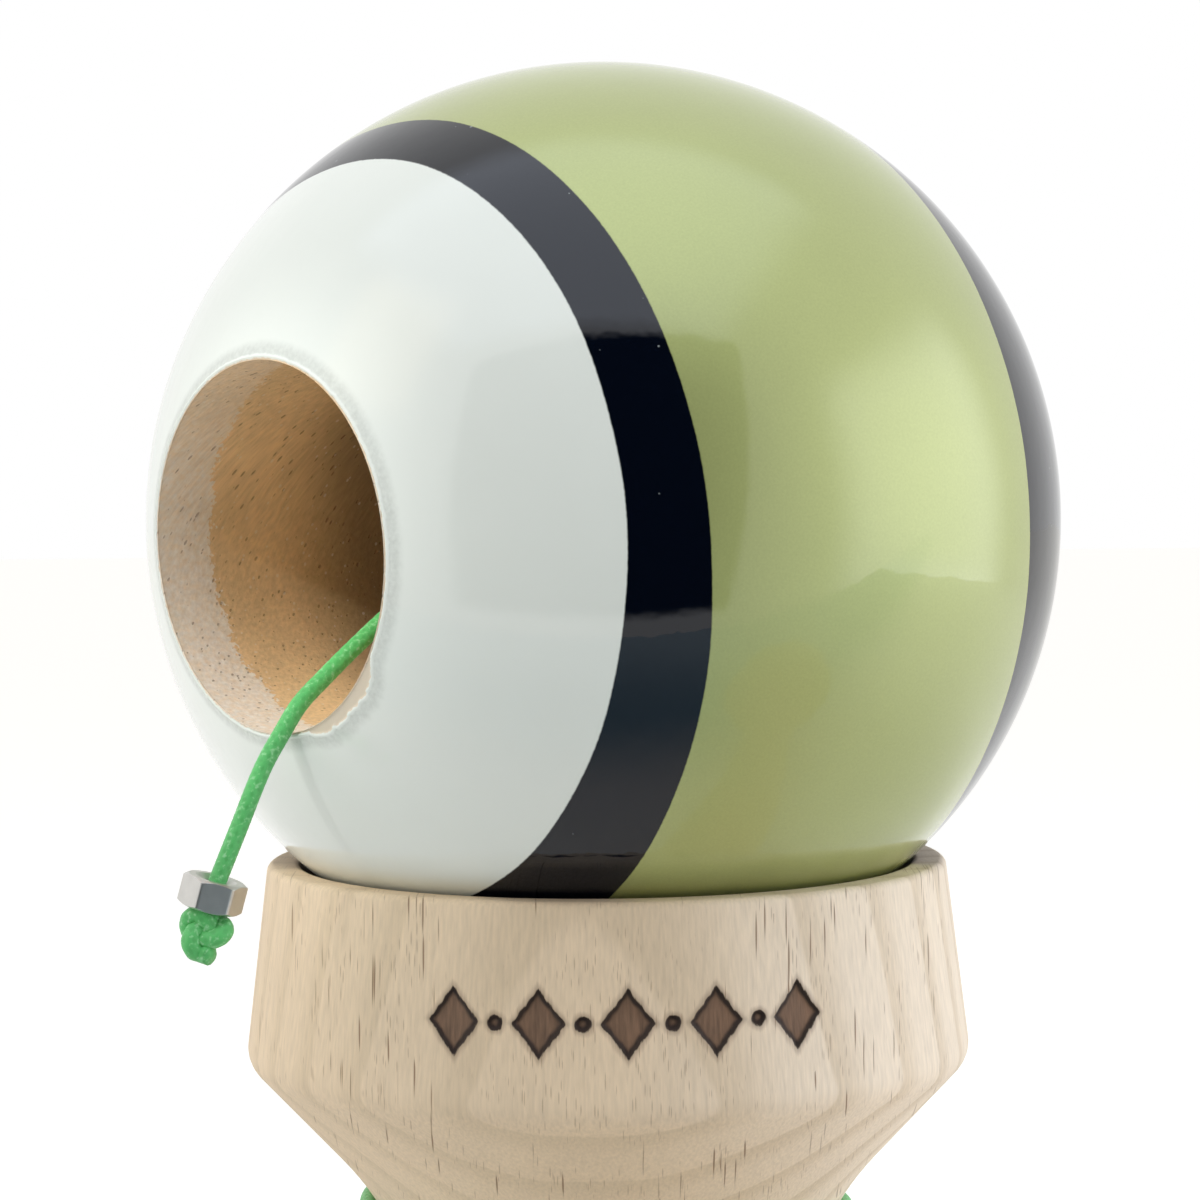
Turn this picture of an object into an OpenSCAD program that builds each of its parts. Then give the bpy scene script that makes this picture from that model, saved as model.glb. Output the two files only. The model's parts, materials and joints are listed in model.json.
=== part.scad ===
// Kendama standing on its small cup, with the ball resting in the big cup.
// The ken lies along Y with its base cup at -Y, the ball's hole faces -X, +Z is up.
// Origin: on the floor, at the middle of the small cup's rim. Millimetres.

/* [Tama] */
// Diameter of the ball
tama_d = 60; // [54:0.5:66]
// Diameter of the ball's main hole
hole_d = 22.8; // [20:0.2:25]
// Depth of the main hole's straight wall, from its mouth
hole_depth = 40; // [30:0.5:42]
// Point angle of the drilled hole's bottom
hole_point_angle = 118; // [90:1:140]
// Diameter of the string hole through the ball's far side
string_hole_d = 2.6; // [2:0.1:3.2]
// How far the hole's mouth dips below level
hole_tilt = 2; // [0:0.5:4]

/* [Big cup] */
// Outer diameter of the rim
big_rim_d = 44.8; // [43:0.2:47]
// Outer diameter where the band meets the cone, before rounding
big_corner_d = 47.9; // [47:0.1:52]
// Height of the band
big_band_h = 12.8; // [10:0.2:14]
// Diameter at the lip's inner edge, which carries the ball
big_seat_d = 40.7; // [37:0.1:42]
// Depth of the bowl
big_bowl_depth = 11; // [9:0.2:13]
// Height of the rim above the ken's axis
big_reach = 38; // [36:0.5:42]
// Radius of the hollow neck under the cone
big_neck_r = 21; // [18:0.5:23]

/* [Small cup] */
// Outer diameter of the rim
small_rim_d = 40.6; // [39:0.2:43]
// Outer diameter where the band meets the cone, before rounding
small_corner_d = 43.4; // [42.6:0.1:47]
// Height of the band
small_band_h = 11.4; // [9:0.2:12]
// Diameter at the lip's inner edge
small_seat_d = 36.6; // [33:0.2:38]
// Depth of the bowl
small_bowl_depth = 9; // [7:0.2:11]
// Height of the ken's axis above the rim
small_reach = 31; // [30:0.5:36]
// Radius of the hollow neck under the cone
small_neck_r = 18; // [15:0.5:19]

/* [Cup shape] */
// Diameter of the sarado's waist
waist_d = 24.8; // [23:0.2:27]
// Angle of the cones from their axis
cone_angle = 43; // [40:0.5:46]
// Rounding of the corner between band and cone
corner_round = 2.6; // [1:0.1:3]
// Rounding of the rims' outer edge
lip_round = 0.5; // [0.2:0.1:0.8]

/* [Ken] */
// Length from the sarado's axis to the tip of the spike
spike_len = 62; // [50:1:70]
// Length from the sarado's axis to the rim of the base cup
handle_len = 98; // [90:1:110]
// Diameter of the plug in the sarado, on the handle's side
plug_big_d = 15.4; // [14.8:0.1:16]
// Diameter of the plug in the sarado, on the spike's side
plug_small_d = 14.2; // [13:0.1:14.6]
// Diameter of the shoulder that stops the plug
shoulder_d = 17.4; // [16.6:0.1:18.6]
// Largest diameter of the handle
belly_d = 20; // [18:0.2:22]
// Distance from the sarado's axis to the handle's largest diameter
belly_at = 32; // [26:1:40]
// Smallest diameter of the handle, by the base cup
handle_neck_d = 15; // [13:0.2:17]
// Diameter of the spike's tip
tip_d = 6.4; // [5:0.2:8]
// Rounding of the spike's tip
tip_round = 1.6; // [0.6:0.1:2]
// Swell of the spike's sides, as a share of its taper
spike_swell = 0.28; // [0:0.02:0.5]

/* [Base cup] */
// Outer diameter of the rim
base_rim_d = 39.2; // [38:0.2:42]
// Outer diameter where the band meets the cone, before rounding
base_corner_d = 42; // [41.4:0.2:45]
// Height of the band
base_band_h = 10.4; // [8:0.2:12]
// Diameter at the lip's inner edge
base_seat_d = 35; // [32:0.2:37]
// Depth of the bowl
base_bowl_depth = 8; // [6:0.2:10]
// Radius of the hollow neck under the cone
base_neck_r = 20; // [16:0.5:24]

/* [String] */
// Diameter of the string
cord_d = 1.1; // [0.9:0.05:1.3]
// Whole turns wound round the neck under the big cup
wind_turns = 3; // [1:1:3]
// Direction, seen from above, in which the winding starts
wind_start = 80; // [70:1:90]
// Direction, seen from above, in which the winding ends
wind_stop = 140; // [130:1:145]
// Height of the winding's first turn above the ken's axis
wind_top = 15.4; // [14.6:0.1:15.8]
// Space between neighbouring turns
wind_space = 0.55; // [0.5:0.05:0.7]
// Diameter of the string hole in the sarado's waist
anchor_hole_d = 1.9; // [1.7:0.1:2.1]
// Wall that the anchor knot pulls against
anchor_wall = 1.7; // [1.3:0.1:1.8]
// Diameter of the anchor knot's pocket
pocket_d = 3.6; // [3.4:0.1:5]
// Overall width of a knot
knot_w = 2.8; // [2.4:0.1:2.9]
// Length of a knot along the string
knot_len = 2.5; // [2.3:0.1:2.7]

/* [Stopper nut] */
// Width across the nut's flats
nut_flats = 3.5; // [3.2:0.1:4.5]
// Height of the nut
nut_h = 1.85; // [1.4:0.05:2.4]
// Diameter of the nut's bore
nut_bore_d = 1.9; // [1.7:0.1:2.1]
// Diameter of the bore's countersinks
nut_sink_d = 2.5; // [2.2:0.1:2.9]
// Width of the nut's bevel at the middle of a flat
nut_bevel = 0.06; // [0.04:0.01:0.1]
// Angle of the nut's bevel
nut_bevel_angle = 30; // [20:1:40]
// Turn of the nut's flats about the string
nut_turn = 28; // [0:1:30]

/* [Fits] */
// Gap between the ball and the lip that carries it
seat_gap = 0.2; // [0.1:0.05:0.4]
// Radial gap of the plug in the sarado
plug_gap = 0.05; // [0.03:0.01:0.08]
// Gap between the shoulder and the necks that it stops against
shoulder_gap = 0.3; // [0.2:0.05:0.5]
// Gap between the winding and the neck
wind_gap = 0.15; // [0.1:0.05:0.3]
// Gap between the nut and the knot below it
nut_gap = 0.2; // [0.15:0.05:0.4]

/* [Hidden] */
$fn = 64;

beech = "#d9c4a3";
paint_green = "#b4ba8a";
cord_green = "#3fa651";
steel = "#b9b9b6";

// Steps along an arc of an outline
arc_steps = 8;
// Overlap that lets a cutter pass through a face
cut = 1;

tama_r = tama_d / 2;
hole_r = hole_d / 2;
waist_r = waist_d / 2;
cord_r = cord_d / 2;
sarado_len = big_reach + small_reach;
// Height of the ball's middle over the floor, from its seat on the lip
tama_z = sarado_len + sqrt(pow(tama_r + seat_gap, 2) - pow(big_seat_d / 2, 2));
mouth_at = sqrt(pow(tama_r, 2) - pow(hole_r, 2));
hole_point_h = (hole_r - string_hole_d / 2) / tan(hole_point_angle / 2);

function unit(v) = v / norm(v);

// Places along a cup's outer side, measured along its axis from where its reach starts
function neck_end_r(waist, neck_r) = waist + neck_r * (1 - cos(cone_angle));
function neck_start(reach, corner_r, band_h, waist, neck_r) =
    reach - band_h - (corner_r - neck_end_r(waist, neck_r)) / tan(cone_angle) - neck_r * sin(cone_angle);

// Outer side of a cup from its neck to its lip's inner edge, as points [radius, along]
function cup_side(reach, rim_r, corner_r, band_h, seat_r, waist, neck_r) =
    let (
        start = neck_start(reach, corner_r, band_h, waist, neck_r),
        lean = atan((corner_r - rim_r) / band_h),
        back = corner_round * tan((cone_angle + lean) / 2),
        corner = [corner_r, reach - band_h],
        corner_mid = corner - back * [sin(cone_angle), cos(cone_angle)]
            + corner_round * [-cos(cone_angle), sin(cone_angle)],
        lip_mid = [rim_r + lip_round * (tan(lean) - 1 / cos(lean)), reach - lip_round]
    )
    concat(
        [for (i = [0:arc_steps]) let (t = cone_angle * i / arc_steps)
            [waist + neck_r * (1 - cos(t)), start + neck_r * sin(t)]],
        [for (i = [0:arc_steps]) let (t = -cone_angle + (cone_angle + lean) * i / arc_steps)
            corner_mid + corner_round * [cos(t), sin(t)]],
        [for (i = [0:arc_steps]) let (t = lean + (90 - lean) * i / arc_steps)
            lip_mid + lip_round * [cos(t), sin(t)]],
        [[seat_r, reach]]
    );

// Round cutter that leaves a bowl of this depth under a lip at height reach
module bowl(reach, seat_r, depth) {
    bowl_r = (pow(seat_r, 2) + pow(depth, 2)) / (2 * depth);
    translate([0, 0, reach - depth + bowl_r]) sphere(r = bowl_r, $fn = 96);
}

function reversed(list) = [for (i = [len(list) - 1:-1:0]) list[i]];
function eased(u) = (1 - cos(180 * u)) / 2;

// Radius of the sarado at a distance from the ken's axis, where a neck has this start and hollow
function neck_radius(at, start, neck_r) =
    at < start ? waist_r : waist_r + neck_r - sqrt(pow(neck_r, 2) - pow(at - start, 2));
big_neck_start = neck_start(big_reach, big_corner_d / 2, big_band_h, waist_r, big_neck_r);
small_neck_start = neck_start(small_reach, small_corner_d / 2, small_band_h, waist_r, small_neck_r);

// The shoulder stops against the wider of the two necks
plug_reach = shoulder_gap + max(neck_radius(shoulder_d / 2, big_neck_start, big_neck_r),
                                neck_radius(shoulder_d / 2, small_neck_start, small_neck_r));
// Plug radius at a distance from the sarado's axis toward the base cup
function plug_radius(s) =
    (plug_small_d + (plug_big_d - plug_small_d) * (s + plug_reach) / (2 * plug_reach)) / 2;

module sarado() {
    big = cup_side(big_reach, big_rim_d / 2, big_corner_d / 2, big_band_h,
                   big_seat_d / 2, waist_r, big_neck_r);
    small = cup_side(small_reach, small_rim_d / 2, small_corner_d / 2, small_band_h,
                     small_seat_d / 2, waist_r, small_neck_r);
    outline = concat([for (p = reversed(small)) [p[0], -p[1]]], big, [[0, big_reach], [0, -small_reach]]);
    pocket_from = waist_r - anchor_wall;
    color(beech) translate([0, 0, small_reach]) difference() {
        rotate_extrude($fn = 128) polygon(outline);
        bowl(big_reach, big_seat_d / 2, big_bowl_depth);
        mirror([0, 0, 1]) bowl(small_reach, small_seat_d / 2, small_bowl_depth);
        ken_axis() translate([0, 0, -plug_reach - cut])
            cylinder(r1 = plug_radius(-plug_reach - cut) + plug_gap,
                     r2 = plug_radius(plug_reach + cut) + plug_gap,
                     h = 2 * (plug_reach + cut));
        rotate([0, -90, 0]) cylinder(d = anchor_hole_d, h = waist_r + cut);
        rotate([0, -90, 0]) cylinder(d = pocket_d, h = pocket_from);
    }
}

// Turns +Z onto the ken's axis, toward its base cup
module ken_axis() {
    rotate([90, 0, 0]) children();
}

module ken() {
    base_neck_at = handle_len - base_band_h - base_neck_r * sin(cone_angle)
        - (base_corner_d / 2 - neck_end_r(handle_neck_d / 2, base_neck_r)) / tan(cone_angle);
    spike_root_r = plug_radius(-plug_reach);
    spike_from = spike_len - tip_round;
    spike = [for (i = [0:2 * arc_steps])
        let (u = i / (2 * arc_steps), widened = (1 - spike_swell) * u + spike_swell * sin(90 * u))
        [tip_d / 2 + (spike_root_r - tip_d / 2) * widened, -spike_from + (spike_from - plug_reach) * u]];
    tip = [for (i = [0:arc_steps]) let (t = 90 * i / arc_steps)
        [spike[0][0] - tip_round * (1 - sin(t)), -spike_len + tip_round * (1 - cos(t))]];
    upper = [for (i = [0:arc_steps]) let (u = i / arc_steps)
        [(shoulder_d + (belly_d - shoulder_d) * sin(90 * u)) / 2, plug_reach + (belly_at - plug_reach) * u]];
    lower = [for (i = [1:2 * arc_steps - 1]) let (u = i / (2 * arc_steps))
        [(belly_d + (handle_neck_d - belly_d) * eased(u)) / 2, belly_at + (base_neck_at - belly_at) * u]];
    base = cup_side(handle_len, base_rim_d / 2, base_corner_d / 2, base_band_h, base_seat_d / 2,
                    handle_neck_d / 2, base_neck_r);
    plug_end = [[plug_radius(plug_reach), plug_reach]];
    outline = concat([[0, -spike_len]], tip, [for (i = [1:len(spike) - 1]) spike[i]], plug_end,
                     upper, lower, base, [[0, handle_len]]);
    color(beech) translate([0, 0, small_reach]) ken_axis() difference() {
        rotate_extrude($fn = 128) polygon(outline);
        bowl(handle_len, base_seat_d / 2, base_bowl_depth);
    }
}

// Turns +Z onto the line of the ball's hole, out through its mouth, from the ball's middle
module hole_axis() {
    translate([0, 0, tama_z]) rotate([0, -90 - hole_tilt, 0]) children();
}

module tama() {
    bottom = mouth_at - hole_depth;
    color(paint_green) hole_axis() difference() {
        sphere(r = tama_r, $fn = 128);
        translate([0, 0, bottom]) cylinder(r = hole_r, h = tama_r - bottom + cut);
        translate([0, 0, bottom - hole_point_h])
            cylinder(r1 = string_hole_d / 2, r2 = hole_r, h = hole_point_h);
        translate([0, 0, -tama_r - cut]) cylinder(d = string_hole_d, h = tama_r + cut);
    }
}

// Places given from the ball's middle, and from the ken's axis
function at_ball(p) = p + [0, 0, tama_z];
function at_ken(p) = p + [0, 0, small_reach];

// Route of the string through the ball, from outside its string hole to just past the main hole's lip
tail_route = [
    [34, 0, 1.2], [30, 0, 1], [24, 0, 0.8], [18, 0, 0.6], [12, -0.1, 0.3], [6, -0.3, -0.1],
    [0, -0.6, -0.7], [-6, -0.9, -1.5], [-11, -1.3, -2.4], [-15.5, -1.6, -3.6],
    [-19.2, -1.8, -5.1], [-22.2, -1.9, -7], [-24.9, -2, -8.9], [-26.8, -2, -10.4], [-28.2, -2, -12.1]
];
// Middle of the nut from the ball's middle, and the lean of the straight end it hangs on
nut_at = [-33.5, -2, -21.3];
tail_lean = 28;
tail_down = [-sin(tail_lean), 0, -cos(tail_lean)];
// Straight length of string above the nut's middle, and the spacing of its points
tail_straight = 8;
tail_step = 4;
// Route of the string from the ball's string hole down behind the ball to the winding
lead_route = [
    [36.2, 0, 1], [37.9, 0.4, -0.2], [38.5, 1.1, -2.3], [38.1, 2.2, -5.8], [36.9, 4.1, -10.8],
    [35.2, 6.2, -15.8], [33.2, 8.3, -20.8], [30.9, 10.2, -25.8], [28.2, 12, -30.6], [25.1, 13.6, -34.9],
    [21.5, 14.9, -38.4], [17.4, 15.9, -41], [12.9, 16.6, -42.7], [8.4, 17, -43.7]
];
// Route of the string from the winding's end down to the string hole in the waist, from the ken's axis
root_route = [
    [-13.6, 5.7, 10.7], [-15.3, 3.2, 9.3], [-16.3, 1.4, 7.2], [-16.6, 0.4, 4.8], [-16.4, 0, 2.6],
    [-15.5, 0, 0.9], [-14, 0, 0.1]
];
cord_sides = 8;
wind_sides = 6;
rings_per_turn = 24;

// Winding: the string's middle line lies beside the neck's hollow, one step lower each turn
wind_off = cord_r + wind_gap;
wind_arc = big_neck_r - wind_off;
wind_t0 = asin((wind_top - big_neck_start) / wind_arc);
wind_step = cord_d + wind_space;
function wind_point(a) =
    let (
        t = wind_t0 - a / 360 * wind_step / wind_arc * 180 / PI,
        r = waist_r + big_neck_r - wind_arc * cos(t),
        dir = wind_start + a
    )
    [r * cos(dir), r * sin(dir), small_reach + big_neck_start + wind_arc * sin(t)];
wind_end = 360 * wind_turns + wind_stop - wind_start;
wind_rings = round(wind_end / 360 * rings_per_turn);
wind_curve = [for (i = [0:wind_rings]) wind_point(wind_end * i / wind_rings)];
wind_in = unit(wind_point(1) - wind_point(-1));
wind_out = unit(wind_point(wind_end + 1) - wind_point(wind_end - 1));
// The winding's ends run straight for one diameter
wind_first = wind_curve[0] - cord_d * wind_in;
wind_last = wind_curve[wind_rings] + cord_d * wind_out;

// A free string's curve through its route's points, with steps between neighbouring points
function between(a, b, c, d, u) =
    b + u * (c - a) / 2 + u * u * (a - 2.5 * b + 2 * c - d / 2) + u * u * u * (1.5 * (b - c) + (d - a) / 2);
function curve(p, steps) = concat(
    [for (i = [0:len(p) - 2], k = [0:steps - 1])
        between(p[max(i - 1, 0)], p[i], p[i + 1], p[min(i + 2, len(p) - 1)], k / steps)],
    [p[len(p) - 1]]);
function sum(list) = list * [for (x = list) 1];
function path_len(p) = sum([for (i = [1:len(p) - 1]) norm(p[i] - p[i - 1])]);

// Direction of the path at each of its points, with the directions of its two ends given
function directions(p, first, last) = [for (i = [0:len(p) - 1])
    i == 0 ? first : i == len(p) - 1 ? last : unit(p[i + 1] - p[i - 1])];
// One sideways direction for each point, carried along without twisting
function square_to(v, t) = unit(v - (v * t) * t);
function sideways(t) =
    let (upright = abs(t[0][2]) > cos(25), seed = upright ? [0, 1, 0] : [0, 0, 1])
    [for (i = 0, v = square_to(seed, t[0]); i < len(t);
          i = i + 1, v = square_to(v, t[min(i, len(t) - 1)])) v];

// String swept along a path, closed at both ends
module tube(path, first, last, sides) {
    t = directions(path, first, last);
    s = sideways(t);
    n = len(path);
    points = concat(
        [for (i = [0:n - 1], k = [0:sides - 1])
            path[i] + cord_r * (cos(360 * k / sides) * s[i] + sin(360 * k / sides) * cross(t[i], s[i]))],
        [path[0], path[n - 1]]);
    wall = [for (i = [0:n - 2], k = [0:sides - 1], half = [0, 1])
        let (a = i * sides + k, b = i * sides + (k + 1) % sides)
        half == 0 ? [a, a + sides, b] : [b, a + sides, b + sides]];
    start_cap = [for (k = [0:sides - 1]) [n * sides, k, (k + 1) % sides]];
    end_cap = [for (k = [0:sides - 1])
        [n * sides + 1, (n - 1) * sides + (k + 1) % sides, (n - 1) * sides + k]];
    polyhedron(points = points, faces = concat(wall, start_cap, end_cap), convexity = 10);
}

nut_mid = at_ball(nut_at);
knot_top = nut_mid + (nut_h / 2 + nut_gap) * tail_down;
tail_points = [for (p = tail_route) at_ball(p)];
tail_end = [for (k = [tail_straight:-tail_step:0]) nut_mid - k * tail_down];
tail_path = concat(curve(concat(tail_points, tail_end), 2), [knot_top]);
string_out = unit(tail_points[0] - tail_points[1]);
// The two strings outside the ball's string hole meet with this gap
meet_gap = 0.05;
lead_points = [for (p = lead_route) at_ball(p)];
lead_path = curve(concat([tail_points[0] + meet_gap * string_out], lead_points, [wind_first]), 2);
anchor_end = at_ken([-(waist_r - anchor_wall), 0, 0]);
root_points = [for (p = root_route) at_ken(p)];
root_path = concat([wind_last], root_points, [at_ken([-waist_r, 0, 0]), anchor_end]);

// How far a knot's turns slant, as a share of the room they have
knot_slant = 0.55;

// Overhand knot about +Z: two slanting turns round a core, and its cut end
module knot() {
    turn_r = (knot_w - cord_d) / 2;
    slant = asin((knot_len / 2 - cord_r) / turn_r * knot_slant);
    rise = knot_len / 2 - cord_r - turn_r * sin(slant);
    for (side = [-1, 1])
        translate([0, 0, side * rise]) rotate([side * slant, 0, 0])
            rotate_extrude($fn = 48) translate([turn_r, 0]) circle(d = cord_d, $fn = 24);
    sphere(r = turn_r, $fn = 32);
}

// Turns +Z onto the straight end of the string, upward, at a point of it
module along_tail(point) {
    translate(point) rotate([0, tail_lean, 0]) children();
}

module stopper_nut() {
    corner_r = nut_flats / 2 / cos(30);
    sink = (nut_sink_d - nut_bore_d) / 2;
    face_r = nut_flats / 2 - nut_bevel;
    outer_r = corner_r + nut_bevel;
    shoulder_z = nut_h / 2 - (outer_r - face_r) * tan(nut_bevel_angle);
    color(steel) along_tail(nut_mid) difference() {
        intersection() {
            rotate([0, 0, nut_turn]) cylinder(r = corner_r, h = nut_h, center = true, $fn = 6);
            rotate_extrude($fn = 64) polygon([
                [0, -nut_h / 2], [face_r, -nut_h / 2], [outer_r, -shoulder_z],
                [outer_r, shoulder_z], [face_r, nut_h / 2], [0, nut_h / 2]]);
        }
        cylinder(d = nut_bore_d, h = nut_h + 2 * cut, center = true);
        for (side = [0, 1])
            mirror([0, 0, side]) translate([0, 0, nut_h / 2 - sink])
                cylinder(d1 = nut_bore_d, d2 = nut_sink_d + 2 * sink, h = 2 * sink);
    }
}

module cord_tail() {
    color(cord_green) tube(tail_path, -string_out, tail_down, cord_sides);
}

module end_knot() {
    color(cord_green) along_tail(knot_top + knot_len / 2 * tail_down) knot();
}

module cord_lead() {
    color(cord_green) tube(lead_path, string_out, wind_in, cord_sides);
}

module cord_winding() {
    path = concat([wind_first], wind_curve, [wind_last]);
    last = len(path) - 1;
    // Points less than half a turn apart are the same stretch of string
    apart = round(rings_per_turn / 2);
    least = min([for (i = [0:last], j = [i + apart:1:last]) norm(path[i] - path[j])]);
    echo("winding, least gap to itself", least - cord_d);
    echo("string outside the ball and sarado", path_len(lead_path) + path_len(path) + path_len(root_path),
         "tail", path_len(tail_path), "lead", path_len(lead_path), "winding", path_len(path),
         "root", path_len(root_path));
    color(cord_green) tube(path, wind_in, wind_out, wind_sides);
}

module cord_root() {
    color(cord_green) tube(root_path, wind_out, [1, 0, 0], cord_sides);
}

module anchor_knot() {
    color(cord_green) translate(anchor_end + [knot_len / 2, 0, 0]) rotate([0, 90, 0]) knot();
}

sarado();
ken();
tama();
stopper_nut();
cord_tail();
end_knot();
cord_lead();
cord_winding();
cord_root();
anchor_knot();
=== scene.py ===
"""Dresses the kendama: turned beech, a lacquered ball, a waxed braided string and a small steel nut.

Sizes are millimetres and angles are degrees, as in the part's source. Meshes are written in metres.
"""

import json
import logging
import math
from collections.abc import Callable
from dataclasses import dataclass
from enum import Enum

import bmesh
import bpy
import numpy as np
from mathutils import Matrix


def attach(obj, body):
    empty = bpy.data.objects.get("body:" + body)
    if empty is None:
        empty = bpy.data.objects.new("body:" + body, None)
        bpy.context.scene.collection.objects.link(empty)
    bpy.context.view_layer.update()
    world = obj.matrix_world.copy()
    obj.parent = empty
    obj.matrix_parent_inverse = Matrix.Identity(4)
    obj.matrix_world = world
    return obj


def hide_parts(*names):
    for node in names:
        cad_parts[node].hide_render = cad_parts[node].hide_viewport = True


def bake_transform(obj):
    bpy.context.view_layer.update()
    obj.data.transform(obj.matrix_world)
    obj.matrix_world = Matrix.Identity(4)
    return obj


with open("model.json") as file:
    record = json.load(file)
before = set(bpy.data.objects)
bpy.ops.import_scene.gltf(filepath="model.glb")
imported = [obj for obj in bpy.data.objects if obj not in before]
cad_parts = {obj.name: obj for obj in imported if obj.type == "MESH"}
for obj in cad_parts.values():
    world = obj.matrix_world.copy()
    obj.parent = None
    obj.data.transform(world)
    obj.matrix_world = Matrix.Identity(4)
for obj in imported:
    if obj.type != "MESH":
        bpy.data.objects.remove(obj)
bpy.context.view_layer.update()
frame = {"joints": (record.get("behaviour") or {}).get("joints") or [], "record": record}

MM = 0.001
Pair = tuple[float, float]
Triple = tuple[float, float, float]
Faces = list[tuple[int, ...]]
Socket = bpy.types.NodeSocket
ORIGIN: Triple = (0.0, 0.0, 0.0)
UPWARD: Triple = (0.0, 0.0, 1.0)
WHITE: Triple = (1.0, 1.0, 1.0)
SAME_POINT = 1e-5
CRISP_ANGLE = 35.0
log = logging.getLogger("kendama")


class Body(Enum):
    """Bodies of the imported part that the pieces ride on."""

    SARADO = "sarado"
    KEN = "ken"
    STRING_END = "string_end"
    TAMA = "tama"
    NUT = "stopper_nut"


class Slot(Enum):
    """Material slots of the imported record."""

    BEECH = "beech"
    PAINT = "tama_paint"
    STEEL = "nut_steel"
    STRING = "string"


def joint(name: str) -> dict:
    """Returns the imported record's joint of this name."""
    return next(row for row in frame["joints"] if row["name"] == name)


def mount(name: str) -> dict:
    """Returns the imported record's mount of this name."""
    return next(row for row in frame["record"]["mounts"] if row["name"] == name)


def unit(vector: np.ndarray) -> np.ndarray:
    """Returns the vector at length one."""
    return np.asarray(vector, float) / np.linalg.norm(vector)


def eased(low: float, high: float, value: np.ndarray) -> np.ndarray:
    """Returns a smooth rise from 0 at low to 1 at high."""
    share = np.clip((value - low) / (high - low), 0, 1)
    return share * share * (3 - 2 * share)


# Shared places: the ball's middle, the line of its hole, and the ken's height over the floor
BALL_MID = np.array(joint("tama_spin")["pos_m"]) / MM
HOLE_AXIS = unit(joint("tama_spin")["axis"])
KEN_MID = np.array([0.0, 0.0, mount("base_cup_rim")["pos_m"][2] / MM])


# Outlines and meshes

def arc(centre: np.ndarray | Pair, radius: float, start: float, stop: float, step: float) -> np.ndarray:
    """Points along an arc of an outline.

    Args:
        centre: middle of the arc, as radius and along.
        radius: radius of the arc.
        start: angle where the arc starts.
        stop: angle where the arc stops.
        step: largest distance between neighbouring points.

    Returns:
        The points, one in each row.
    """
    count = max(2, math.ceil(abs(math.radians(stop - start)) * radius / step) + 1)
    turn = np.radians(np.linspace(start, stop, count))
    return np.asarray(centre) + radius * np.column_stack((np.cos(turn), np.sin(turn)))


def line(start: np.ndarray, stop: np.ndarray, step: float) -> np.ndarray:
    """Points along a straight run.

    Args:
        start: first point.
        stop: last point.
        step: largest distance between neighbouring points.

    Returns:
        The points, one in each row.
    """
    start, stop = np.asarray(start, float), np.asarray(stop, float)
    count = max(2, math.ceil(np.linalg.norm(stop - start) / step) + 1)
    return start + np.linspace(0, 1, count)[:, None] * (stop - start)


def softened(before: np.ndarray, corner: np.ndarray, after: np.ndarray, count: int = 6) -> np.ndarray:
    """Points round a softened corner.

    Args:
        before: where the softening starts.
        corner: the corner that it rounds off.
        after: where the softening stops.
        count: number of points.

    Returns:
        The points, one in each row.
    """
    u = np.linspace(0, 1, count)[:, None]
    return (1 - u) ** 2 * before + 2 * u * (1 - u) * np.asarray(corner) + u * u * after


def joined(*runs: np.ndarray) -> np.ndarray:
    """Joins runs of points into one, without the points that repeat.

    Args:
        runs: the runs in their order, with one point in each row.

    Returns:
        The points, one in each row.
    """
    points = np.vstack(runs)
    gaps = np.linalg.norm(np.diff(points, axis=0), axis=1)
    return points[np.r_[True, gaps > SAME_POINT]]


def grid_faces(rows: int, columns: int, loop: bool = False) -> Faces:
    """Quads of a grid whose columns close round.

    Args:
        rows: number of rows.
        columns: number of columns.
        loop: whether the last row meets the first.

    Returns:
        The quads as vertex numbers.
    """
    faces = []
    for row in range(rows if loop else rows - 1):
        here = row * columns
        there = (row + 1) % rows * columns
        for column in range(columns):
            right = (column + 1) % columns
            faces.append((here + column, here + right, there + right, there + column))
    return faces


def capped(points: np.ndarray, columns: int, first: np.ndarray,
           last: np.ndarray) -> tuple[np.ndarray, Faces]:
    """Closes both ends of a grid of rings with fans.

    Args:
        points: the rings' points, ring after ring.
        columns: points in a ring.
        first: middle of the first end.
        last: middle of the last end.

    Returns:
        All points and all faces.
    """
    rows = len(points) // columns
    count = len(points)
    faces = grid_faces(rows, columns)
    for column in range(columns):
        right = (column + 1) % columns
        faces.append((count, right, column))
        faces.append((count + 1, count - columns + column, count - columns + right))
    return np.vstack((points, first, last)), faces


def lathe(profile: np.ndarray, angles: np.ndarray) -> np.ndarray:
    """Turns a profile about Z.

    Args:
        profile: points as radius and along.
        angles: direction of each column.

    Returns:
        The points, row after row.
    """
    turn = np.radians(angles)
    radius = profile[:, :1]
    along = profile[:, 1:] + 0 * turn
    return np.stack((radius * np.cos(turn), radius * np.sin(turn), along), axis=-1).reshape(-1, 3)


def on_axis(along: float) -> np.ndarray:
    """Returns the point of the Z axis at this height."""
    return np.array([0.0, 0.0, along])


def level(radius: np.ndarray | float, along: float, columns: int) -> np.ndarray:
    """Returns one row of an outline at a height, as radius and along of each column."""
    return np.column_stack((np.broadcast_to(radius, columns), np.full(columns, along)))


def make_piece(name: str, points: np.ndarray, faces: Faces) -> bpy.types.Object:
    """Makes a smooth closed mesh and puts it in the scene.

    Args:
        name: name of the piece.
        points: points in millimetres.
        faces: faces as vertex numbers.

    Returns:
        The new object.
    """
    mesh = bpy.data.meshes.new(name)
    mesh.from_pydata((points * MM).tolist(), [], faces)
    form = bmesh.new()
    form.from_mesh(mesh)
    bmesh.ops.recalc_face_normals(form, faces=form.faces)
    form.to_mesh(mesh)
    form.free()
    mesh.shade_smooth()
    piece = bpy.data.objects.new(name, mesh)
    bpy.context.scene.collection.objects.link(piece)
    return piece


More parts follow.
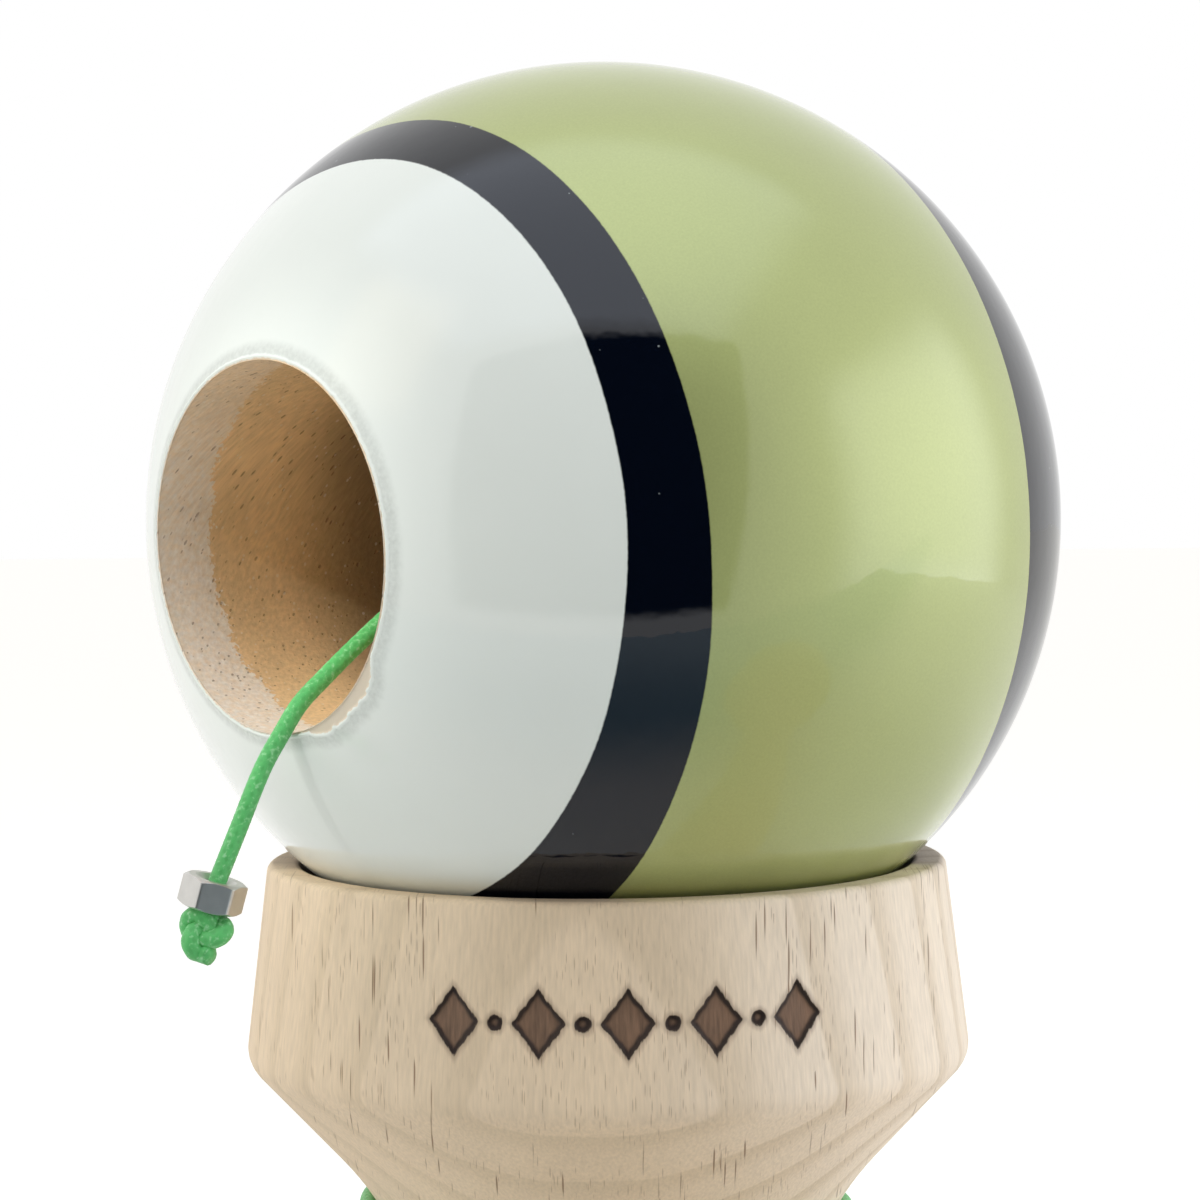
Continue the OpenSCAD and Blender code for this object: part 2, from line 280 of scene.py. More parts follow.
def points_of(piece: bpy.types.Object) -> np.ndarray:
    """Reads a piece's points.

    Args:
        piece: the piece.

    Returns:
        The points in millimetres, one in each row.
    """
    flat = np.empty(len(piece.data.vertices) * 3, np.float32)
    piece.data.vertices.foreach_get("co", flat)
    return flat.reshape(-1, 3).astype(float) / MM


def set_values(piece: bpy.types.Object, name: str, values: np.ndarray) -> None:
    """Keeps one number for each point, for the piece's finish to read.

    Args:
        piece: the piece.
        name: name of the value.
        values: one number for each point.
    """
    layer = piece.data.attributes.new(name, "FLOAT", "POINT")
    layer.data.foreach_set("value", np.asarray(values, np.float32))


def crisp_edges(piece: bpy.types.Object, angle: float, within: Callable[[np.ndarray], bool]) -> None:
    """Keeps edges sharp in the shading where two faces meet at more than an angle.

    Args:
        piece: the piece.
        angle: least angle between the faces.
        within: test of an edge's middle, in millimetres.
    """
    form = bmesh.new()
    form.from_mesh(piece.data)
    limit = math.radians(angle)
    for edge in form.edges:
        if len(edge.link_faces) == 2 and edge.calc_face_angle() > limit:
            middle = (edge.verts[0].co + edge.verts[1].co) / (2 * MM)
            edge.smooth = not within(np.array(middle))
    form.to_mesh(piece.data)
    form.free()


def carve(piece: bpy.types.Object, cutter: bpy.types.Object) -> None:
    """Cuts one closed piece out of another and removes the cutter.

    Args:
        piece: the piece that is cut.
        cutter: the piece that is taken away.
    """
    modifier = piece.modifiers.new("carve", "BOOLEAN")
    modifier.object = cutter
    modifier.solver = "EXACT"
    graph = bpy.context.evaluated_depsgraph_get()
    carved = bpy.data.meshes.new_from_object(piece.evaluated_get(graph))
    piece.modifiers.clear()
    piece.data = carved
    bpy.data.objects.remove(cutter)


def hand_over(piece: bpy.types.Object, body: Body, slot: Slot, *nodes: str) -> None:
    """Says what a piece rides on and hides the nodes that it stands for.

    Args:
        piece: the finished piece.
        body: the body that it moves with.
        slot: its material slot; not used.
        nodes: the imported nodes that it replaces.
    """
    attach(piece, body.value)
    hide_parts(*nodes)
    log.info("%s: %d faces, rides on %s", piece.name, len(piece.data.polygons), body.value)


# Finishes

@dataclass(frozen=True)
class Flecks:
    """Scattered flecks of a finish, each in a cell of its own.

    Attributes:
        scales: cells in a millimetre along three directions.
        scale: cells in a millimetre where the place isn't stretched.
        bare: share of the cells that stay empty.
        smallest: size of the smallest fleck, in cells.
        largest: size of the largest fleck, in cells.
        outside: how far past its size a fleck's soft edge ends.
        inside: how far within its size a fleck is full.
        strength: how much of its colour a fleck takes.
    """

    scales: Triple = (1.0, 1.0, 1.0)
    scale: float = 1.0
    bare: float = 0.15
    smallest: float = 0.0
    largest: float = 0.27
    outside: float = 0.04
    inside: float = -0.14
    strength: float = 1.0


class Graph:
    """Node tree of a material or of the world, with short ways to add and join its nodes."""

    def __init__(self, owner: bpy.types.Material | bpy.types.World) -> None:
        """Empties the owner's tree.

        Args:
            owner: the material or world that the tree belongs to.
        """
        owner.use_nodes = True
        self.owner = owner
        self.tree = owner.node_tree
        self.tree.nodes.clear()

    def add(self, kind: str, inputs: dict | None = None, **settings: object) -> bpy.types.Node:
        """Adds a node.

        Args:
            kind: the node's type, without its common first part.
            inputs: values or sockets for the node's inputs.
            settings: the node's own settings.

        Returns:
            The new node.
        """
        node = self.tree.nodes.new("ShaderNode" + kind)
        for name, value in settings.items():
            setattr(node, name, value)
        for key, value in (inputs or {}).items():
            socket = node.inputs[key]
            if isinstance(value, Socket):
                self.tree.links.new(value, socket)
            elif socket.type == "RGBA":
                socket.default_value = (*value, 1.0)
            else:
                socket.default_value = value
        return node

    def math(self, operation: str, first: object, second: object = 0.0) -> Socket:
        """Returns the result of a sum on one or two numbers."""
        return self.add("Math", {0: first, 1: second}, operation=operation).outputs[0]

    def times(self, first: object, second: object) -> Socket:
        """Returns the product of two numbers."""
        return self.math("MULTIPLY", first, second)

    def plus(self, first: object, second: object) -> Socket:
        """Returns the sum of two numbers."""
        return self.math("ADD", first, second)

    def minus(self, first: object, second: object) -> Socket:
        """Returns the first number less the second."""
        return self.math("SUBTRACT", first, second)

    def dot(self, vector: Socket, direction: Triple) -> Socket:
        """Returns the vector's measure along a direction."""
        node = self.add("VectorMath", {0: vector, 1: direction}, operation="DOT_PRODUCT")
        return node.outputs["Value"]

    def place(self, middle: np.ndarray | Triple) -> Socket:
        """Where a point of the piece is, from a middle.

        Args:
            middle: the middle in millimetres.

        Returns:
            The place in millimetres.
        """
        coords = self.add("TexCoord").outputs["Object"]
        middle_m = tuple(float(x) * MM for x in middle)
        moved = self.add("VectorMath", {0: coords, 1: middle_m}, operation="SUBTRACT").outputs["Vector"]
        return self.shade(moved, 1 / MM)

    def stretched(self, place: Socket, directions: tuple[Triple, ...], scales: Triple) -> Socket:
        """Place measured along three directions, each with its own scale.

        Args:
            place: place in millimetres.
            directions: the three directions.
            scales: how much of the result one millimetre along each of them makes.

        Returns:
            The stretched place.
        """
        axes = [tuple(float(x) * scale for x in axis) for axis, scale in zip(directions, scales)]
        parts = {i: self.dot(place, axis) for i, axis in enumerate(axes)}
        return self.add("CombineXYZ", parts).outputs[0]

    def noise(self, vector: Socket, scale: float, detail: float = 2.0) -> Socket:
        """Returns smooth noise about one half."""
        return self.add("TexNoise", {"Vector": vector, "Scale": scale, "Detail": detail}).outputs[0]

    def swing(self, vector: Socket, scale: float, size: float, detail: float = 2.0) -> Socket:
        """Returns smooth noise about zero, about size large at most."""
        about_zero = self.minus(self.noise(vector, scale, detail), 0.5)
        return self.times(about_zero, 2 * size)

    def flecks(self, vector: Socket, flecks: Flecks) -> Socket:
        """Scattered flecks, each in a cell of its own.

        Args:
            vector: place, where a cell is about one across at a scale of one.
            flecks: their sizes and edges.

        Returns:
            1 in a fleck and 0 beside it.
        """
        node = self.add("TexVoronoi", {"Vector": vector, "Scale": flecks.scale})
        keep = self.add("SeparateColor", {0: node.outputs["Color"]}).outputs[0]
        size = self.between(self.step(keep, flecks.bare, 1.0), flecks.smallest, flecks.largest)
        return self.step(self.minus(node.outputs["Distance"], size), flecks.outside, flecks.inside)

    def step(self, value: Socket, low: object, high: object) -> Socket:
        """Returns a smooth rise from 0 at low to 1 at high, or a fall where low is the larger."""
        inputs = {"Value": value, "From Min": low, "From Max": high}
        return self.add("MapRange", inputs, interpolation_type="SMOOTHSTEP").outputs["Result"]

    def between(self, share: Socket, low: float, high: float) -> Socket:
        """Returns low where the share is 0 and high where it is 1."""
        inputs = {"Value": share, "To Min": low, "To Max": high}
        return self.add("MapRange", inputs).outputs["Result"]

    def mix(self, share: object, first: object, second: object) -> Socket:
        """Returns the first colour where the share is 0 and the second where it is 1."""
        return self.add("Mix", {0: share, 6: first, 7: second}, data_type="RGBA").outputs[2]

    def shade(self, colour: object, tone: object) -> Socket:
        """Returns the colour or vector scaled by a tone."""
        node = self.add("VectorMath", {0: colour, "Scale": tone}, operation="SCALE")
        return node.outputs["Vector"]

    def value(self, name: str) -> Socket:
        """Returns a value that the mesh keeps for each point."""
        return self.add("Attribute", attribute_name=name).outputs["Fac"]

    def bump(self, height: Socket, depth: float) -> Socket:
        """Returns a normal that follows a height, where a height of one is a depth in millimetres."""
        inputs = {"Height": height, "Distance": depth * MM, "Strength": 1.0}
        return self.add("Bump", inputs).outputs["Normal"]

    def finish(self, inputs: dict) -> bpy.types.Material:
        """Closes the tree with one surface.

        Args:
            inputs: values or sockets for the surface.

        Returns:
            The material.
        """
        surface = self.add("BsdfPrincipled", inputs).outputs[0]
        self.add("OutputMaterial", {"Surface": surface})
        return self.owner


@dataclass(frozen=True)
class Beech:
    """Raw turned beech: growth rings, ray flecks, fibres, and scorched marks where a piece has them."""

    name: str
    away: Triple
    along: Triple
    scorched: bool = False
    # Early wood, a paler colour toward one side that is painted light from that side (the view's right
    # on the sarado), and late wood
    pale: Triple = (0.79, 0.63, 0.445)
    painted_light_side: Triple = (0.92, 0.80, 0.65)
    light_side_rise: Pair = (-2.0, 18.0)
    late: Triple = (0.635, 0.50, 0.335)
    late_share: float = 0.42
    # Growth rings
    pith: float = 120.0
    ring: float = 3.1
    ring_rise: Pair = (0.45, 0.93)
    ring_fall: Pair = (1.0, 0.95)
    ring_waver: float = 1.6
    waver_scales: Triple = (0.05, 0.05, 0.015)
    # Rays
    rays: tuple[Flecks, Flecks] = (
        Flecks((0.10, 4.2, 0.18)),
        Flecks((0.25, 6.5, 0.60), largest=0.30, strength=0.45))
    ray_colour: Triple = (0.22, 0.115, 0.05)
    ray_share: float = 0.82
    ray_bend: float = 0.35
    bend_scales: Triple = (0.2, 0.2, 0.2)
    ray_faces: Pair = (0.1, 0.7)
    ray_turned: float = 0.45
    # Fibres and surface
    fibre_scales: Triple = (5.0, 5.0, 0.22)
    fibre_detail: float = 3.0
    fibre_tone: Pair = (0.82, 1.18)
    broad_scales: Triple = (0.12, 0.12, 0.03)
    broad_tone: Pair = (0.90, 1.10)
    roughness: Pair = (0.58, 0.72)
    relief: float = 0.03
    ray_pit: float = -0.4
    ring_pit: float = -0.1
    # Burnt marks
    char: Triple = (0.030, 0.014, 0.008)
    char_rise: Pair = (-0.42, -0.16)
    toasted: Triple = (0.20, 0.115, 0.068)
    toasted_tone: Pair = (0.35, 1.6)
    burn_edge: Pair = (0.05, -0.05)
    burn_ragged: float = 0.22
    halo_fall: Pair = (0.40, 0.0)
    halo_share: float = 0.45

    def grain_frame(self) -> tuple[Triple, Triple, Triple]:
        """Returns the directions away from the pith, along the rings, and along the grain."""
        across = np.cross(self.along, self.away)
        return self.away, tuple(across), self.along

    def ring_tone(self, graph: Graph, place: Socket) -> Socket:
        """Late wood of the growth rings.

        Args:
            graph: the material's tree.
            place: place in millimetres.

        Returns:
            0 in early wood and up to 1 in late wood.
        """
        axes = self.grain_frame()
        outward = graph.plus(graph.dot(place, axes[0]), self.pith)
        sideways = graph.dot(place, axes[1])
        squares = graph.plus(graph.math("POWER", outward, 2.0), graph.times(sideways, sideways))
        waver = graph.swing(graph.stretched(place, axes, self.waver_scales), 1.0, self.ring_waver)
        distance = graph.plus(graph.math("SQRT", squares), waver)
        year = graph.math("FRACT", graph.math("DIVIDE", distance, self.ring))
        return graph.times(graph.step(year, *self.ring_rise), graph.step(year, *self.ring_fall))

    def ray_marks(self, graph: Graph, place: Socket) -> Socket:
        """Wood rays, cut across as short dark dashes along the grain.

        Args:
            graph: the material's tree.
            place: place in millimetres.

        Returns:
            1 in a dash and 0 beside it.
        """
        axes = self.grain_frame()
        bend = graph.swing(graph.stretched(place, axes, self.bend_scales), 1.0, self.ray_bend)
        marks = []
        for ray in self.rays:
            spread = graph.stretched(place, axes, ray.scales)
            bent = graph.add("VectorMath", {0: spread, 1: bend}, operation="ADD").outputs["Vector"]
            marks.append(graph.times(graph.flecks(bent, ray), ray.strength))
        normal = graph.add("TexCoord").outputs["Normal"]
        facing = graph.math("ABSOLUTE", graph.dot(normal, self.away))
        shown = graph.between(graph.step(facing, *self.ray_faces), self.ray_turned, 1.0)
        return graph.times(graph.math("MAXIMUM", *marks), shown)

    def scorch(self, graph: Graph, colour: Socket, fibre: Socket) -> Socket:
        """Burnt marks over the wood's own colour.

        Args:
            graph: the material's tree.
            colour: the wood's colour.
            fibre: the wood's fibres, about one half.

        Returns:
            The colour with its marks.
        """
        ragged = graph.times(graph.minus(fibre, 0.5), self.burn_ragged)
        edge = graph.plus(graph.value("burn"), ragged)
        floor = graph.shade(self.toasted, graph.between(fibre, *self.toasted_tone))
        inside = graph.mix(graph.step(edge, *self.char_rise), floor, self.char)
        near = graph.times(graph.step(edge, *self.halo_fall), self.halo_share)
        halo = graph.mix(near, colour, self.toasted)
        return graph.mix(graph.step(edge, *self.burn_edge), halo, inside)

    def material(self) -> bpy.types.Material:
        """Makes the wood.

        Returns:
            The material.
        """
        graph = Graph(bpy.data.materials.new(self.name))
        place = graph.place(ORIGIN)
        axes = self.grain_frame()
        rings = self.ring_tone(graph, place)
        rays = self.ray_marks(graph, place)
        fibre = graph.noise(graph.stretched(place, axes, self.fibre_scales), 1.0, self.fibre_detail)
        clouds = graph.noise(graph.stretched(place, axes, self.broad_scales), 1.0)
        broad = graph.between(clouds, *self.broad_tone)
        tone = graph.times(graph.between(fibre, *self.fibre_tone), broad)
        # Painted light: the wood turns paler toward one side, the view's right on the sarado
        light_side_share = graph.step(graph.dot(place, axes[1]), *self.light_side_rise)
        early = graph.mix(light_side_share, self.pale, self.painted_light_side)
        wood = graph.shade(graph.mix(graph.times(rings, self.late_share), early, self.late), tone)
        wood = graph.mix(graph.times(rays, self.ray_share), wood, self.ray_colour)
        if self.scorched:
            wood = self.scorch(graph, wood, fibre)
        pits = graph.plus(graph.times(rays, self.ray_pit), graph.times(rings, self.ring_pit))
        return graph.finish({
            "Base Color": wood,
            "Roughness": graph.between(fibre, *self.roughness),
            "IOR": 1.5,
            "Normal": graph.bump(graph.plus(fibre, pits), self.relief),
        })


@dataclass(frozen=True)
class Edge:
    """Painted edge on the ball: a plane, by its normal and its distance from the ball's middle."""

    normal: Triple
    offset: float


@dataclass(frozen=True)
class BallLacquer:
    """Gloss lacquer in a white, a navy and a pearl green field, worn off at the hole's lip."""

    # Paints
    white: Triple = (0.80, 0.84, 0.79)
    white_tone: Pair = (0.97, 1.03)
    navy: Triple = (0.0015, 0.0030, 0.0075)
    dots: Flecks = Flecks(scale=0.75, bare=0.3, smallest=-0.02, largest=0.075,
                          outside=0.02, inside=-0.03, strength=0.7)
    dot_colour: Triple = (0.34, 0.38, 0.38)
    green: Triple = (0.41, 0.455, 0.18)
    pearl: float = 0.45
    flake_noise: Pair = (7.0, 1.0)
    flake_tone: Pair = (0.92, 1.08)
    cloud_scale: float = 0.10
    cloud_tone: Pair = (0.94, 1.06)
    # Edges between the paints
    white_edge: Edge = Edge((-0.9995, 0.0168, -0.0277), 18.82)
    navy_edge: Edge = Edge((-0.9973, 0.0362, -0.0636), 14.24)
    green_edge: Edge = Edge((-0.9988, 0.0229, -0.0430), -10.60)
    edge_soft: float = 0.05
    broad_wave: Triple = (0.12, 0.10, 0.0)
    fine_wave: Pair = (2.6, 0.025)
    # Worn lip and its dust
    lip_wave: Pair = (4.0, 0.06)
    bare: Triple = (0.74, 0.65, 0.52)
    bare_edge: Pair = (0.03, -0.03)
    dust: Triple = (0.50, 0.53, 0.49)
    dust_rise: Pair = (0.18, 0.34)
    dust_fall: Pair = (1.35, 0.55)
    dust_noise: Pair = (3.5, 3.0)
    dust_share: Pair = (0.1, 0.9)
    # Surface
    gloss_rise: Pair = (0.1, 0.8)
    roughness: Pair = (0.7, 0.42)
    coat: Pair = (0.15, 1.0)
    coat_roughness: float = 0.03
    peel_scale: float = 0.55
    peel_relief: float = 0.012

    def side(self, graph: Graph, place: Socket, wave: Socket, edge: Edge) -> Socket:
        """Share of paint on the hole's side of an edge.

        Args:
            graph: the material's tree.
            place: place from the ball's middle.
            wave: how far the edge strays from its plane.
            edge: the edge.

        Returns:
            1 on the hole's side and 0 on the other.
        """
        reach = graph.plus(graph.dot(place, edge.normal), wave)
        return graph.step(reach, edge.offset - self.edge_soft, edge.offset + self.edge_soft)

    def material(self) -> bpy.types.Material:
        """Makes the lacquer.

        Returns:
            The material.
        """
        graph = Graph(bpy.data.materials.new("lacquer"))
        place = graph.place(BALL_MID)
        wave = graph.plus(graph.swing(place, *self.broad_wave), graph.swing(place, *self.fine_wave))
        in_white = self.side(graph, place, wave, self.white_edge)
        in_navy = self.side(graph, place, wave, self.navy_edge)
        in_green = self.side(graph, place, wave, self.green_edge)
        only_green = graph.times(in_green, graph.minus(1.0, in_navy))

        flakes = graph.between(graph.noise(place, *self.flake_noise), *self.flake_tone)
        clouds = graph.noise(place, self.cloud_scale)
        pearl = graph.shade(self.green, graph.times(flakes, graph.between(clouds, *self.cloud_tone)))
        dots = graph.times(graph.flecks(place, self.dots), self.dots.strength)
        navy = graph.mix(dots, self.navy, self.dot_colour)
        white = graph.shade(self.white, graph.between(clouds, *self.white_tone))
        colour = graph.mix(in_green, navy, pearl)
        colour = graph.mix(in_navy, colour, navy)
        colour = graph.mix(in_white, colour, white)

        lip = graph.plus(graph.value("lip"), graph.swing(place, *self.lip_wave))
        smudge = graph.times(graph.step(lip, *self.dust_rise), graph.step(lip, *self.dust_fall))
        patches = graph.between(graph.noise(place, *self.dust_noise), *self.dust_share)
        colour = graph.mix(graph.times(smudge, patches), colour, self.dust)
        colour = graph.mix(graph.step(lip, *self.bare_edge), colour, self.bare)
        glossy = graph.step(lip, *self.gloss_rise)
        peel = graph.bump(graph.noise(place, self.peel_scale), self.peel_relief)
        return graph.finish({
            "Base Color": colour,
            "Metallic": graph.times(only_green, self.pearl),
            "Roughness": graph.between(glossy, *self.roughness),
            "Specular IOR Level": 0.0,
            "Coat Weight": graph.between(glossy, *self.coat),
            "Coat Roughness": self.coat_roughness,
            "Coat IOR": 1.5,
            "Normal": peel,
            "Coat Normal": peel,
        })


@dataclass(frozen=True)
class BoreWood:
    """Bare wood of the ball's bore, with a thin film of sprayed undercoat inside its mouth, and painted
    shade deeper in.
    """

    # Wood
    wood: Triple = (0.88, 0.61, 0.325)
    grain: Triple = (0.60, -0.30, 0.742)
    dashes: Flecks = Flecks((3.2, 3.2, 1.1), bare=0.35, outside=0.08, inside=-0.10, strength=0.5)
    dash_colour: Triple = (0.28, 0.15, 0.07)
    specks: Flecks = Flecks((2.6, 2.6, 1.7), bare=0.5, largest=0.25,
                            outside=0.06, inside=-0.06, strength=0.35)
    fibre_scales: Triple = (4.0, 4.0, 0.5)
    fibre_detail: float = 3.0
    fibre_tone: Pair = (0.75, 1.25)
    broad_scale: float = 0.16
    broad_tone: Pair = (0.8, 1.2)
    # Painted shade: the wood darkens deeper in the bore
    mouth_at: float = 27.75
    deep: Pair = (8.0, 17.0)
    deep_tone: float = 0.42
    # Undercoat film
    film: Triple = (0.96, 0.88, 0.78)
    film_tone: Pair = (0.82, 1.15)
    film_depth: float = 4.25
    film_soft: float = 0.12
    fine_wave: Pair = (3.4, 0.95)
    broad_wave: Pair = (0.25, 0.8)
    film_noise: Pair = (2.4, 5.0)
    film_share: Pair = (0.2, 1.25)
    film_thins: Pair = (2.0, 10.0)
    film_top: float = 0.45
    # Surface
    roughness: float = 0.75
    relief: float = 0.05

    def film_cover(self, graph: Graph, place: Socket, depth: Socket) -> Socket:
        """How much of the film lies on the wood.

        Args:
            graph: the material's tree.
            place: place from the ball's middle.
            depth: distance inside the mouth.

        Returns:
            0 on bare wood, and more where the film is thicker.
        """
        ragged = graph.plus(graph.swing(place, *self.fine_wave), graph.swing(place, *self.broad_wave))
        edges = (self.film_depth + self.film_soft, self.film_depth - self.film_soft)
        within = graph.step(graph.plus(depth, ragged), *edges)
        patches = graph.between(graph.noise(place, *self.film_noise), *self.film_share)
        higher = graph.step(graph.dot(place, UPWARD), *self.film_thins)
        return graph.times(graph.times(within, patches), graph.between(higher, 1.0, self.film_top))

    def material(self) -> bpy.types.Material:
        """Makes the bore's wood and film.

        Returns:
            The material.
        """
        graph = Graph(bpy.data.materials.new("bore_wood"))
        place = graph.place(BALL_MID)
        side = unit(np.cross(self.grain, HOLE_AXIS))
        axes = (tuple(unit(np.cross(side, self.grain))), tuple(side), self.grain)
        dash = graph.flecks(graph.stretched(place, axes, self.dashes.scales), self.dashes)
        speck = graph.flecks(graph.stretched(place, axes, self.specks.scales), self.specks)
        fibre = graph.noise(graph.stretched(place, axes, self.fibre_scales), 1.0, self.fibre_detail)
        broad = graph.between(graph.noise(place, self.broad_scale), *self.broad_tone)
        tone = graph.times(graph.between(fibre, *self.fibre_tone), broad)
        depth = graph.minus(self.mouth_at, graph.dot(place, tuple(HOLE_AXIS)))
        # Painted shade: the wood darkens from deep[0] to deep[1] mm inside the mouth
        depth_shade = graph.between(graph.step(depth, *self.deep), 1.0, self.deep_tone)
        wood = graph.shade(graph.shade(self.wood, tone), depth_shade)
        film = graph.shade(self.film, graph.between(fibre, *self.film_tone))
        colour = graph.mix(self.film_cover(graph, place, depth), wood, film)
        colour = graph.mix(graph.times(dash, self.dashes.strength), colour, self.dash_colour)
        colour = graph.mix(graph.times(speck, self.specks.strength), colour, self.film)
        return graph.finish({
            "Base Color": colour,
            "Roughness": self.roughness,
            "IOR": 1.45,
            "Normal": graph.bump(graph.minus(fibre, dash), self.relief),
        })


@dataclass(frozen=True)
class TurnedSteel:
    """Bright turned steel with fine tool lines."""

    colour: Triple = (0.66, 0.645, 0.61)
    line_scales: Triple = (1.2, 1.2, 22.0)
    line_detail: float = 3.0
    smudge_scale: float = 1.4
    smudge_tone: Pair = (0.88, 1.08)
    roughness: Pair = (0.26, 0.40)
    relief: float = 0.003

    def material(self, middle: np.ndarray, axes: tuple[Triple, ...]) -> bpy.types.Material:
        """Makes the steel of a piece turned about the last of three directions.

        Args:
            middle: the piece's middle.
            axes: the piece's three directions.

        Returns:
            The material.
        """
        graph = Graph(bpy.data.materials.new("nut_steel"))
        place = graph.place(middle)
        lines = graph.noise(graph.stretched(place, axes, self.line_scales), 1.0, self.line_detail)
        smudges = graph.noise(place, self.smudge_scale)
        return graph.finish({
            "Base Color": graph.shade(self.colour, graph.between(smudges, *self.smudge_tone)),
            "Metallic": 1.0,
            "Roughness": graph.between(lines, *self.roughness),
            "Normal": graph.bump(lines, self.relief),
        })


@dataclass(frozen=True)
class WaxedString:
    """Waxed braided string, with painted shade between its strands, and pale threads that are partly
    painted highlight on the strands' tops.
    """

    # Strands, with painted shade in the grooves between them
    strand: Triple = (0.10, 0.52, 0.14)
    crease_shade: Triple = (0.08, 0.44, 0.11)
    crease_shade_rise: Pair = (0.05, 0.75)
    broad_scale: float = 0.45
    broad_tone: Pair = (0.85, 1.15)
    # Pale threads: partly the string's own paler fibres, partly painted highlight, as they show only on
    # the strands' tops
    thread: Triple = (0.40, 0.76, 0.42)
    thread_rise: Pair = (0.50, 0.68)
    tops_highlight_rise: Pair = (0.35, 0.9)
    thread_share: float = 0.6
    # Surface
    wax_noise: Pair = (3.4, 3.0)
    roughness: Pair = (0.38, 0.62)
    sheen: float = 0.15
    fuzz_noise: Pair = (9.0, 2.0)
    fuzz_relief: float = 0.02

    def material(self) -> bpy.types.Material:
        """Makes the string's surface.

        Returns:
            The material.
        """
        graph = Graph(bpy.data.materials.new("waxed_string"))
        place = graph.place(ORIGIN)
        strand = graph.value("strand")
        # Painted shade: darker colour in the grooves between the strands
        colour = graph.mix(graph.step(strand, *self.crease_shade_rise), self.crease_shade, self.strand)
        wax = graph.noise(place, *self.wax_noise)
        broad = graph.between(graph.noise(place, self.broad_scale), *self.broad_tone)
        # Pale threads, partly painted highlight: they show only where the strands stand highest
        pale = graph.times(graph.step(wax, *self.thread_rise), graph.step(strand, *self.tops_highlight_rise))
        colour = graph.mix(graph.times(pale, self.thread_share), graph.shade(colour, broad), self.thread)
        return graph.finish({
            "Base Color": colour,
            "Roughness": graph.between(wax, *self.roughness),
            "IOR": 1.48,
            "Sheen Weight": self.sheen,
            "Normal": graph.bump(graph.noise(place, *self.fuzz_noise), self.fuzz_relief),
        })


# Pieces

@dataclass(frozen=True)
class LozengeRow:
    """Row of burnt lozenges with dots between them, round the big cup's band."""

    count: int = 5
    pitch: float = 5.4
    half_w: float = 1.65
    half_h: float = 2.1
    dot_r: float = 0.48
    below_rim: float = 7.2
    direction: float = 230.6
    depth: float = 0.30
    wall: float = 0.22
    margin: float = 0.6
    uneven: float = 0.04
    waves: tuple[Pair, Pair] = ((5.3, 2.1), (-1.7, 4.1))
    farthest: float = 2.0

    def half_span(self) -> float:
        """Returns half of the row's length with its margin."""
        return self.count // 2 * self.pitch + self.half_w + self.margin

    def distance(self, across: np.ndarray, up: np.ndarray) -> np.ndarray:
        """Distance to the nearest mark's outline.

        Args:
            across: place round the band from the row's middle.
            up: place up the band from the row's middle.

        Returns:
            The distance, below zero inside a mark.
        """
        ends = self.count // 2
        from_lozenge = across - self.pitch * np.clip(np.round(across / self.pitch), -ends, ends)
        shape = np.abs(from_lozenge) / self.half_w + np.abs(up) / self.half_h - 1
        lozenge = shape * self.half_w * self.half_h / math.hypot(self.half_w, self.half_h)
        gap = np.clip(np.floor(across / self.pitch), -ends, ends - 1) + 0.5
        dot = np.hypot(across - self.pitch * gap, up) - self.dot_r
        first, second = (np.sin(a * across + b * up) for a, b in self.waves)
        return np.minimum(lozenge, dot) + self.uneven * first * second


